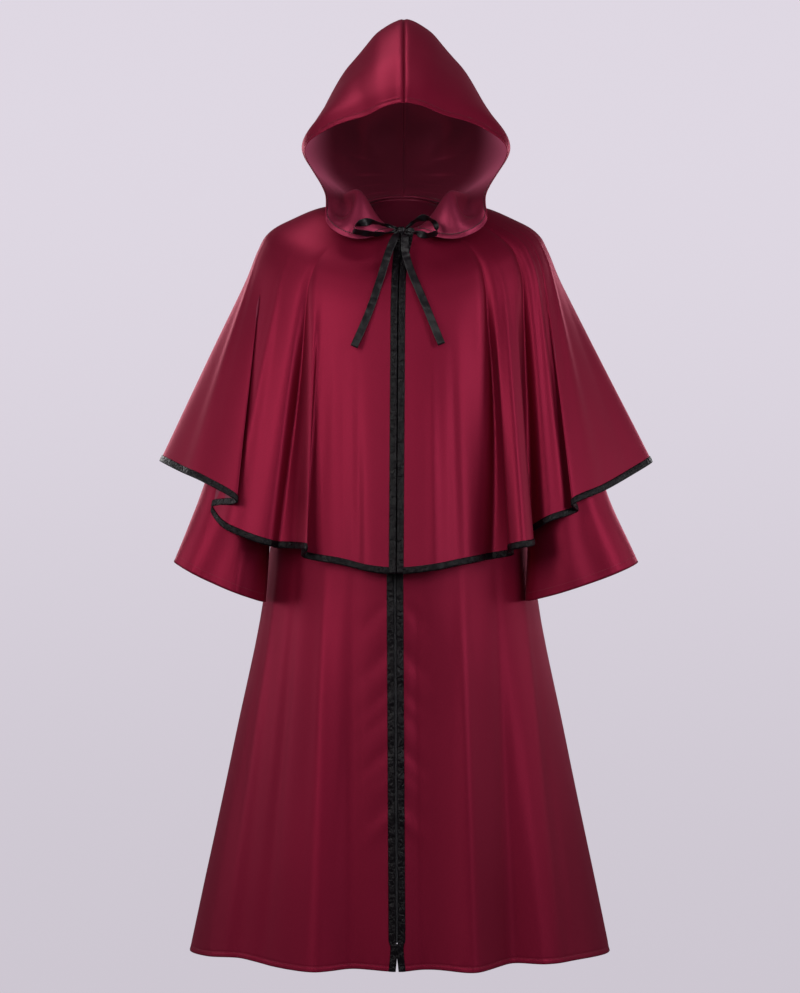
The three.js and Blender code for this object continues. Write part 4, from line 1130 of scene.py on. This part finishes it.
# A binding's section from its upper edge on the face, round the cloth's edge, to its upper edge inside:
# `across` is the share of its width (past 1 it is beyond the edge) and `off` the distance out from the cloth.
BINDING_SECTION = columns("across off", [
    [0.0, 0.25],
    [0.03, 0.8],
    [0.12, 1.05],
    [0.3, 1.2],
    [0.5, 1.3],
    [0.7, 1.3],
    [0.88, 1.2],
    [1.0, 0.95],
    [1.05, 0.6],
    [1.085, 0.1],
    [1.095, -0.55],
    [1.085, -1.2],
    [1.05, -1.75],
    [1.0, -2.0],
    [0.85, -2.15],
    [0.5, -2.2],
    [0.15, -2.0],
    [0.03, -1.75],
    [0.0, -1.45],
])


def gathers(s, seed):
    """Fine uneven puckers along a binding: a short wave whose hollows are pinched sharp."""
    wave = wandering(s, seed, 10, 6)
    slow = 0.6 + 0.4 * wandering(s, seed + 1, 60, 4)
    return (0.5 - np.abs(wave) ** 0.7) * np.clip(slow, 0.15, 1.2)


def binding_grid(place, length, seed, puff=0.45):
    """A binding swept along its edge. place(across, off) gives a row of points for one share of the width."""
    across, off = BINDING_SECTION["across"], BINDING_SECTION["off"]
    edge_row = place(1.0, 0.0)
    inner_row = place(0.85, 0.0)
    outward = unit(edge_row - inner_row)
    ripple = gathers(length, seed)
    rows = []
    for share, height in zip(across, off):
        body = math.sin(math.pi * min(share, 1.0) * 0.9 + 0.15)
        lift = puff * 1.5 * ripple * body * (1 if height > -0.5 else -0.6)
        skew = gathers(length + 9 * share, seed + 5) * 0.3 * body
        row = place(min(share, 1.0), height + lift + skew * (1 if height > -0.5 else -1))
        beyond = max(share - 1, 0) * BINDING_WIDTH
        rows.append(row + outward * beyond)
    return np.stack(rows)


def run_length(points):
    """The length along a path at each of its points."""
    steps = np.linalg.norm(np.diff(points, axis=0), axis=-1)
    return np.concatenate([[0], steps.cumsum()])


def cape_hem_binding(left, right, seed, count):
    """A binding along the capelet's hem between two turns."""
    turn = shares(left, right, count)
    _, _, reach = cape.bearings(turn, np.ones_like(turn))
    length = run_length(cape_form(turn, np.ones_like(turn)))

    def place(across, off):
        at = 1 - BINDING_WIDTH * (1 - across) / reach
        return cape.points(turn, at, off)

    return binding_grid(place, length, seed)


def front_binding(cloth, side, edge_of, first, seed, count, puff):
    """A binding down one front edge of a cloth, from height share `first` to its hem."""
    at = shares(first, 1, count)
    edge = edge_of(at)
    length = run_length(cloth.form(0 * at, at))

    def place(across, off):
        beside = edge + BINDING_WIDTH * (1 - across)
        return cloth.points(turn_beside(cloth.form, at, side * beside), at, off)

    return binding_grid(place, length, seed, puff)


def stitch_row(name, path, normal, look, pitch, long=2.3, thick=0.24):
    """Thread stitches along a path on the cloth: each a short bar whose middle stands out and whose ends
    dip into the cloth."""
    reached = run_length(path)
    starts = np.arange(0.5, reached[-1] - long - 0.5, pitch)
    along = starts[:, None] + long * np.array([0, 0.25, 0.5, 0.75, 1])[None]
    lift = np.array([-0.25, 0.14, 0.22, 0.14, -0.25])
    centre = np.stack([np.interp(along, reached, path[:, k]) for k in range(3)], -1)
    out = np.stack([np.interp(along, reached, normal[:, k]) for k in range(3)], -1)
    radii = np.array([0.02, 1, 1.05, 1, 0.02]) * thick
    vertices, faces = bars(centre + out * lift[None, :, None], radii, 4)
    made = new_object(name, vertices, faces)
    made.data.materials.append(LOOKS[look])
    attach(made, BODY)


def on_cloth(cloth, u, v, off=0.0):
    """A path on a cloth and its outward normals."""
    normal, _, _ = cloth.bearings(u, v)
    return cloth.points(u, v, off), normal


# Ribbon and zip

def ribbon_grid(run, count=90, seed=0):
    """A ribbon along its run: the width turns evenly from one direction to the other, is pinched at the ends,
    cups a little across and ripples along."""
    points = np.array(run["points"], float)
    share = shares(0, 1, count)
    middle = through(points, share * (len(points) - 1))
    along = unit(np.gradient(middle, axis=0))
    first, last = (unit(np.array(width, float)) for width in run["width"])
    width = mixed(first, last, share[:, None])
    width = unit(width - along * (width * along).sum(-1, keepdims=True))
    reached = run_length(middle)
    twist = run.get("twist", 0.12) * wandering(reached, seed + 7, 38)[:, None]
    width = width * np.cos(twist) + np.cross(along, width) * np.sin(twist)
    face = np.cross(along, width)
    pinch = run["pinch"]
    opened = mixed(pinch[0], 1, smooth_step(share, 0, 0.25))
    opened = opened * mixed(pinch[1], 1, smooth_step(1 - share, 0, 0.25))
    across = shares(-1, 1, 13)
    aside = across * (opened * RIBBON_WIDTH / 2)[:, None]
    cup = 0.7 * (1 - opened)[:, None] * np.cos(across * 4.2)
    ripple = 0.35 * wandering(reached, seed, 24)[:, None] * across
    ripple = ripple + 0.2 * wandering(reached, seed + 3, 13)[:, None]
    return middle[:, None] + width[:, None] * aside[..., None] + face[:, None] * (cup + ripple)[..., None]


def knot_points():
    """The tie's knot: a ball pressed flatter on its sides, wound by two slanting wraps of ribbon."""
    around = shares(0, 2 * math.pi, 65)[:-1]
    up = shares(0.001, math.pi - 0.001, 36)
    a, b = np.meshgrid(around, up)
    ball = np.stack([np.sin(b) * np.cos(a), np.sin(b) * np.sin(a), np.cos(b)], -1)
    pressed = np.sign(ball) * np.abs(ball) ** 0.8
    wrap = 1 + 0.07 * np.sin(3 * (b + 0.35 * np.sin(a))) + 0.03 * np.sin(9 * b + 2 * a)
    half = np.array([6.5, 4.0, 5.5])
    return np.array([-3, -114, -53]) + pressed * half * wrap[..., None]


def zip_line(level):
    """The zip's middle and its outward normals at given heights."""
    at = shares(0, 1, 2000)
    centre = robe_form(0 * at, at)
    normal, _, _ = robe.bearings(0 * at, at)
    middle = np.stack([np.interp(-level, -centre[:, 2], centre[:, k]) for k in range(3)], -1)
    out = np.stack([np.interp(-level, -centre[:, 2], normal[:, k]) for k in range(3)], -1)
    return middle, out


def coil_ground():
    """The cord and tape edges under the coil: a flat bar, closed all round."""
    middle, out = zip_line(np.arange(ZIP_TOP - 10, ZIP_BOTTOM + 4, -6.0))
    across = np.array([-2.1, 2.1, 2.1, -2.1])
    deep = np.array([-0.3, -0.3, -1.2, -1.2])
    place = middle[:, None] + out[:, None] * deep[None, :, None]
    place[..., 0] += across
    return place


def zip_teeth():
    """The closed coil: turns of nylon from both tapes in step, each a short bowed bar across the middle."""
    level = np.arange(ZIP_TOP - 11.2, ZIP_BOTTOM + 6, -0.95)
    middle, out = zip_line(level)
    side = np.where(np.arange(len(level)) % 2 == 0, -1.0, 1.0)
    reach = np.array([2.1, 1.7, 0.9, 0.0, -0.55])
    lift = np.array([-0.7, 0.1, 0.35, 0.3, -0.2])
    tilt = np.array([-0.35, -0.2, 0, 0.1, 0.15])
    place = middle[:, None].repeat(5, 1)
    place[..., 0] += side[:, None] * reach
    place[..., 2] += tilt
    return place + out[:, None] * lift[None, :, None]


# The add-on

class HoodedCapeSizes(bpy.types.PropertyGroup):
    wall: bpy.props.FloatProperty(
        name="Cloth wall", description="Thickness of the satin shell", default=0.0009,
        min=0.0003, max=0.0012, unit="LENGTH")
    stitch: bpy.props.FloatProperty(
        name="Stitch pitch", description="From the start of one stitch to the next", default=0.0034,
        min=0.002, max=0.006, unit="LENGTH")
    camera_distance: bpy.props.FloatProperty(
        name="Camera distance", description="From the camera to the neck", default=3.5,
        min=1.0, max=10.0, unit="LENGTH")


class HoodedCapeColours(bpy.types.PropertyGroup):
    satin_face: bpy.props.FloatVectorProperty(
        name="Satin face", description="The red satin's right side", subtype="COLOR",
        default=(0.235, 0.0065, 0.032), min=0, max=1)
    satin_reverse: bpy.props.FloatVectorProperty(
        name="Satin reverse", description="The red satin's wrong side", subtype="COLOR",
        default=(0.21, 0.014, 0.043), min=0, max=1)
    black_satin: bpy.props.FloatVectorProperty(
        name="Black satin", description="Bindings and ribbon", subtype="COLOR",
        default=(0.0036, 0.0020, 0.0034), min=0, max=1)
    backdrop: bpy.props.FloatVectorProperty(
        name="Backdrop", description="The studio's floor and wall", subtype="COLOR",
        default=(0.70, 0.651, 0.730), min=0, max=1)


class HOODEDCAPE_OT_stage(bpy.types.Operator):
    """Set up the studio: a curved backdrop, soft lights and the camera"""
    bl_idname = "hooded_cape.stage"
    bl_label = "Stage"

    def execute(self, context):
        scene = context.scene
        sizes = scene.hooded_cape_sizes
        make_looks(scene.hooded_cape_colours)
        lens = bpy.data.cameras.new("camera")
        lens.sensor_width = SENSOR
        lens.lens = LENS
        camera = bpy.data.objects.new("camera", lens)
        camera.location = (CAMERA_ASIDE, -sizes.camera_distance, CAMERA_LEVEL)
        camera.rotation_euler = (math.radians(90), 0, 0)
        scene.collection.objects.link(camera)
        scene.camera = camera
        self.backdrop(scene)
        for name, (place, towards, size, power, tint) in LAMPS.items():
            self.light(scene, name, place, towards, size, power, tint)
        world = bpy.data.worlds.new("studio")
        world.use_nodes = True
        sky = world.node_tree.nodes["Background"]
        sky.inputs["Color"].default_value, sky.inputs["Strength"].default_value = WORLD
        scene.world = world
        scene.view_settings.view_transform = "Standard"
        return {"FINISHED"}

    def backdrop(self, scene):
        """A glowing round studio: a floor that turns up into a wall along a wide arc, alike on all sides.
        The sheet is only seen: the lamps and the world alone light the cloth."""
        turn = np.radians(shares(0, 90, 25))
        bend, floor, far, top = 2500.0, -3400.0, 8000.0, 9000.0
        reach = np.concatenate([[1.0], far - bend + bend * np.sin(turn), [far]])
        height = np.concatenate([[floor], floor + bend - bend * np.cos(turn), [top]])
        around = np.radians(shares(0, 360, 97)[:-1])
        points = np.empty((len(reach), len(around), 3))
        points[..., 0] = reach[:, None] * np.sin(around)
        points[..., 1] = reach[:, None] * np.cos(around)
        points[..., 2] = height[:, None]
        faces = grid_faces(*points.shape[:2], closed=True, flip=True)
        made = new_object("backdrop", points.reshape(-1, 3), faces)
        paper = Finish("backdrop", Base_Color=(0, 0, 0, 1), Specular_IOR_Level=0.0, Roughness=1.0,
                       Emission_Strength=1.0)
        # Painted shade: the glow is darker towards the floor, as the studio's light falls off lower down.
        level = paper.node("ShaderNodeSeparateXYZ", {}, {"Vector": paper.place()}, "Z").between(-3.4, 1.6)
        tone = scene.hooded_cape_colours.backdrop
        paper.set("Emission Color", paper.mix(level, shaded(tone, 0.87), shaded(tone, 1.05)))
        made.data.materials.append(paper.material)
        made.visible_diffuse = False
        made.visible_glossy = False

    def light(self, scene, name, place, towards, size, power, tint):
        """A square lamp that stands at `place`, faces `towards` and isn't seen itself."""
        lamp = bpy.data.lights.new(name, "AREA")
        lamp.size = size
        lamp.energy = power
        lamp.color = tint
        made = bpy.data.objects.new(name, lamp)
        made.location = place
        made.rotation_euler = aimed(np.array(towards) - np.array(place))
        made.visible_camera = False
        scene.collection.objects.link(made)


def sewn(context, node, grid, reverse="reverse", **settings):
    """A panel of satin, which stands for its solid."""
    wall = context.scene.hooded_cape_sizes.wall / MM
    looks = (LOOKS["face"], LOOKS[reverse])
    made = cloth_piece(f"{node}_satin", grid, looks, "red_satin", wall=wall, **settings)
    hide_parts(node)


def bound(name, node, grid, flip):
    """A binding of black satin, which stands for its solid."""
    made = cloth_piece(name, grid, (LOOKS["binding"],), "black_satin", flip=flip, held="stretched",
                       wall=BINDING_WALL)
    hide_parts(node)


class HOODEDCAPE_OT_robe(bpy.types.Operator):
    """Make the robe's two fronts and its back"""
    bl_idname = "hooded_cape.robe"
    bl_label = "Robe"

    def execute(self, context):
        for side, word in SIDES:
            sewn(context, f"robe_front_{word}", robe_panel(side))
        sewn(context, "robe_back", robe_back_grid())
        return {"FINISHED"}


class HOODEDCAPE_OT_sleeves(bpy.types.Operator):
    """Make both sleeves"""
    bl_idname = "hooded_cape.sleeves"
    bl_label = "Sleeves"

    def execute(self, context):
        for side, word in SIDES:
            sewn(context, f"sleeve_{word}", sleeve_grid(side), closed=True, flip=side > 0)
        return {"FINISHED"}


class HOODEDCAPE_OT_capelet(bpy.types.Operator):
    """Make the capelet's two fronts and its back"""
    bl_idname = "hooded_cape.capelet"
    bl_label = "Capelet"

    def execute(self, context):
        for side, word in SIDES:
            sewn(context, f"cape_front_{word}", cape_panel(side))
        sewn(context, "cape_back", cape_back_grid())
        return {"FINISHED"}


class HOODEDCAPE_OT_hood(bpy.types.Operator):
    """Make the hood's two halves"""
    bl_idname = "hooded_cape.hood"
    bl_label = "Hood"

    def execute(self, context):
        for side, word in SIDES:
            sewn(context, f"hood_{word}", hood_grid(side), "lining", flip=side > 0)
        return {"FINISHED"}


class HOODEDCAPE_OT_bindings(bpy.types.Operator):
    """Make the black satin bindings of the capelet and of the front edges"""
    bl_idname = "hooded_cape.bindings"
    bl_label = "Bindings"

    def execute(self, context):
        one = np.ones(1)
        clear = CAPE_EDGE + BINDING_WIDTH + GAP
        ends = {
            "left": (-90.0, turn_beside(cape_form, one, -clear)[0]),
            "right": (turn_beside(cape_form, one, clear)[0], 90.0),
            "back": (90.0, 270.0),
        }
        for seed, (word, (left, right)) in enumerate(ends.items()):
            grid = cape_hem_binding(left, right, 50 + 10 * seed, 420)
            bound(f"cape_hem_{word}_satin", f"cape_hem_binding_{word}", grid, True)
        for seed, (side, word) in enumerate(SIDES):
            grid = front_binding(cape, side, cape_edge, 0.02, 81 + seed, 300, 0.5)
            bound(f"cape_edge_{word}_satin", f"cape_edge_binding_{word}", grid, side > 0)
            grid = front_binding(robe, side, robe_edge, 0.0, 91 + seed, 700, 0.3)
            bound(f"robe_edge_{word}_satin", f"robe_edge_binding_{word}", grid, side > 0)
        return {"FINISHED"}


class HOODEDCAPE_OT_zip(bpy.types.Operator):
    """Make the closed coil and finish the tapes, the stop, the slider and its tab"""
    bl_idname = "hooded_cape.zip"
    bl_label = "Zip"

    def execute(self, context):
        radii = np.array([0.05, 0.42, 0.46, 0.44, 0.05])
        teeth, faces = bars(zip_teeth(), radii, 5)
        ground = coil_ground()
        wall = grid_faces(*ground.shape[:2], closed=True, first=len(teeth))
        vertices = np.concatenate([teeth, ground.reshape(-1, 3)])
        made = new_object("zip_coil", vertices, np.concatenate([faces, wall]))
        made.data.materials.append(LOOKS["coil"])
        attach(made, BODY)
        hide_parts("zip_chain")
        for word in ("left", "right"):
            relook(f"zip_tape_{word}", "tape")
        relook("zip_bottom_stop", "enamel")
        relook("zip_slider", "bright")
        relook("zip_pull_tab", "enamel")
        return {"FINISHED"}


class HOODEDCAPE_OT_tie(bpy.types.Operator):
    """Make the ribbon bow at the neck"""
    bl_idname = "hooded_cape.tie"
    bl_label = "Ribbon tie"

    def execute(self, context):
        for seed, (name, run) in enumerate(RIBBON_RUNS.items()):
            grid = ribbon_grid(run, seed=100 + seed)
            made = cloth_piece(f"{name}_ribbon", grid, (LOOKS["ribbon"],), "black_satin", wall=RIBBON_WALL)
            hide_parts(name)
        points = knot_points()
        knot = new_object("tie_knot_ribbon", points.reshape(-1, 3),
                          grid_faces(*points.shape[:2], closed=True))
        knot.data.materials.append(LOOKS["ribbon"])
        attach(knot, BODY)
        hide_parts("tie_knot")
        return {"FINISHED"}


class HOODEDCAPE_OT_stitching(bpy.types.Operator):
    """Sew the hems, the hood's edge, its lining and the neck seam"""
    bl_idname = "hooded_cape.stitching"
    bl_label = "Stitching"

    def execute(self, context):
        pitch = context.scene.hooded_cape_sizes.stitch / MM
        turn = shares(-179.9, 179.9, 1400)
        _, _, reach = robe.bearings(turn, np.ones_like(turn))
        path, normal = on_cloth(robe, turn, 1 - HEM_STITCH / reach)
        for side, word in SIDES:
            on_side = turn * side > 4
            stitch_row(f"robe_hem_stitches_{word}", path[on_side], normal[on_side], "red_thread", pitch)
        for side, word in SIDES:
            turn = shares(0, 360, 500)
            _, _, reach = sleeves[side].bearings(turn, np.ones_like(turn))
            path, normal = on_cloth(sleeves[side], turn, 1 - CUFF_STITCH / reach)
            stitch_row(f"sleeve_hem_stitches_{word}", path, normal, "red_thread", pitch)
            up = shares(0.02, 0.995, 700)
            _, reach, _ = hoods[side].bearings(np.zeros_like(up) + 0.01, up)
            path, normal = on_cloth(hoods[side], 9 / reach, up)
            stitch_row(f"hood_edge_stitches_{word}", path, normal, "dark_thread", pitch)
            path, normal = on_cloth(hoods[side], HEM_STITCH / reach, up, LINING)
            stitch_row(f"hood_lining_stitches_{word}", path, -normal, "dark_thread", pitch, 2.6, 0.9)
            back = shares(0.3, 0.99, 400)
            path, normal = on_cloth(hoods[side], back, 0.02 + 0 * back, LINING)
            stitch_row(f"neck_stitches_{word}", path, -normal, "dark_thread", pitch, thick=0.45)
        return {"FINISHED"}


class HOODEDCAPE_PT_panel(bpy.types.Panel):
    """The garment's sizes and colours, and a button for each group of pieces"""
    bl_idname = "HOODEDCAPE_PT_panel"
    bl_label = "Hooded cape"
    bl_space_type = "VIEW_3D"
    bl_region_type = "UI"
    bl_category = "Hooded cape"

    def draw(self, context):
        for group in (context.scene.hooded_cape_sizes, context.scene.hooded_cape_colours):
            box = self.layout.box()
            for name in group.__annotations__:
                box.prop(group, name)
        for maker in OPERATORS:
            self.layout.operator(maker.bl_idname)


OPERATORS = (
    HOODEDCAPE_OT_stage, HOODEDCAPE_OT_robe, HOODEDCAPE_OT_sleeves, HOODEDCAPE_OT_capelet,
    HOODEDCAPE_OT_hood, HOODEDCAPE_OT_bindings, HOODEDCAPE_OT_zip, HOODEDCAPE_OT_tie,
    HOODEDCAPE_OT_stitching,
)
CLASSES = (HoodedCapeSizes, HoodedCapeColours) + OPERATORS + (HOODEDCAPE_PT_panel,)


def register():
    """Add the classes and the scene's settings."""
    for made in CLASSES:
        bpy.utils.register_class(made)
    bpy.types.Scene.hooded_cape_sizes = bpy.props.PointerProperty(type=HoodedCapeSizes)
    bpy.types.Scene.hooded_cape_colours = bpy.props.PointerProperty(type=HoodedCapeColours)


def unregister():
    """Take them away again."""
    del bpy.types.Scene.hooded_cape_colours
    del bpy.types.Scene.hooded_cape_sizes
    for made in reversed(CLASSES):
        bpy.utils.unregister_class(made)


def main():
    """Make every piece in order."""
    register()
    bpy.ops.hooded_cape.stage()
    bpy.ops.hooded_cape.robe()
    bpy.ops.hooded_cape.sleeves()
    bpy.ops.hooded_cape.capelet()
    bpy.ops.hooded_cape.hood()
    bpy.ops.hooded_cape.bindings()
    bpy.ops.hooded_cape.zip()
    bpy.ops.hooded_cape.tie()
    bpy.ops.hooded_cape.stitching()
    bpy.context.view_layer.update()


if __name__ == "__main__":
    main()
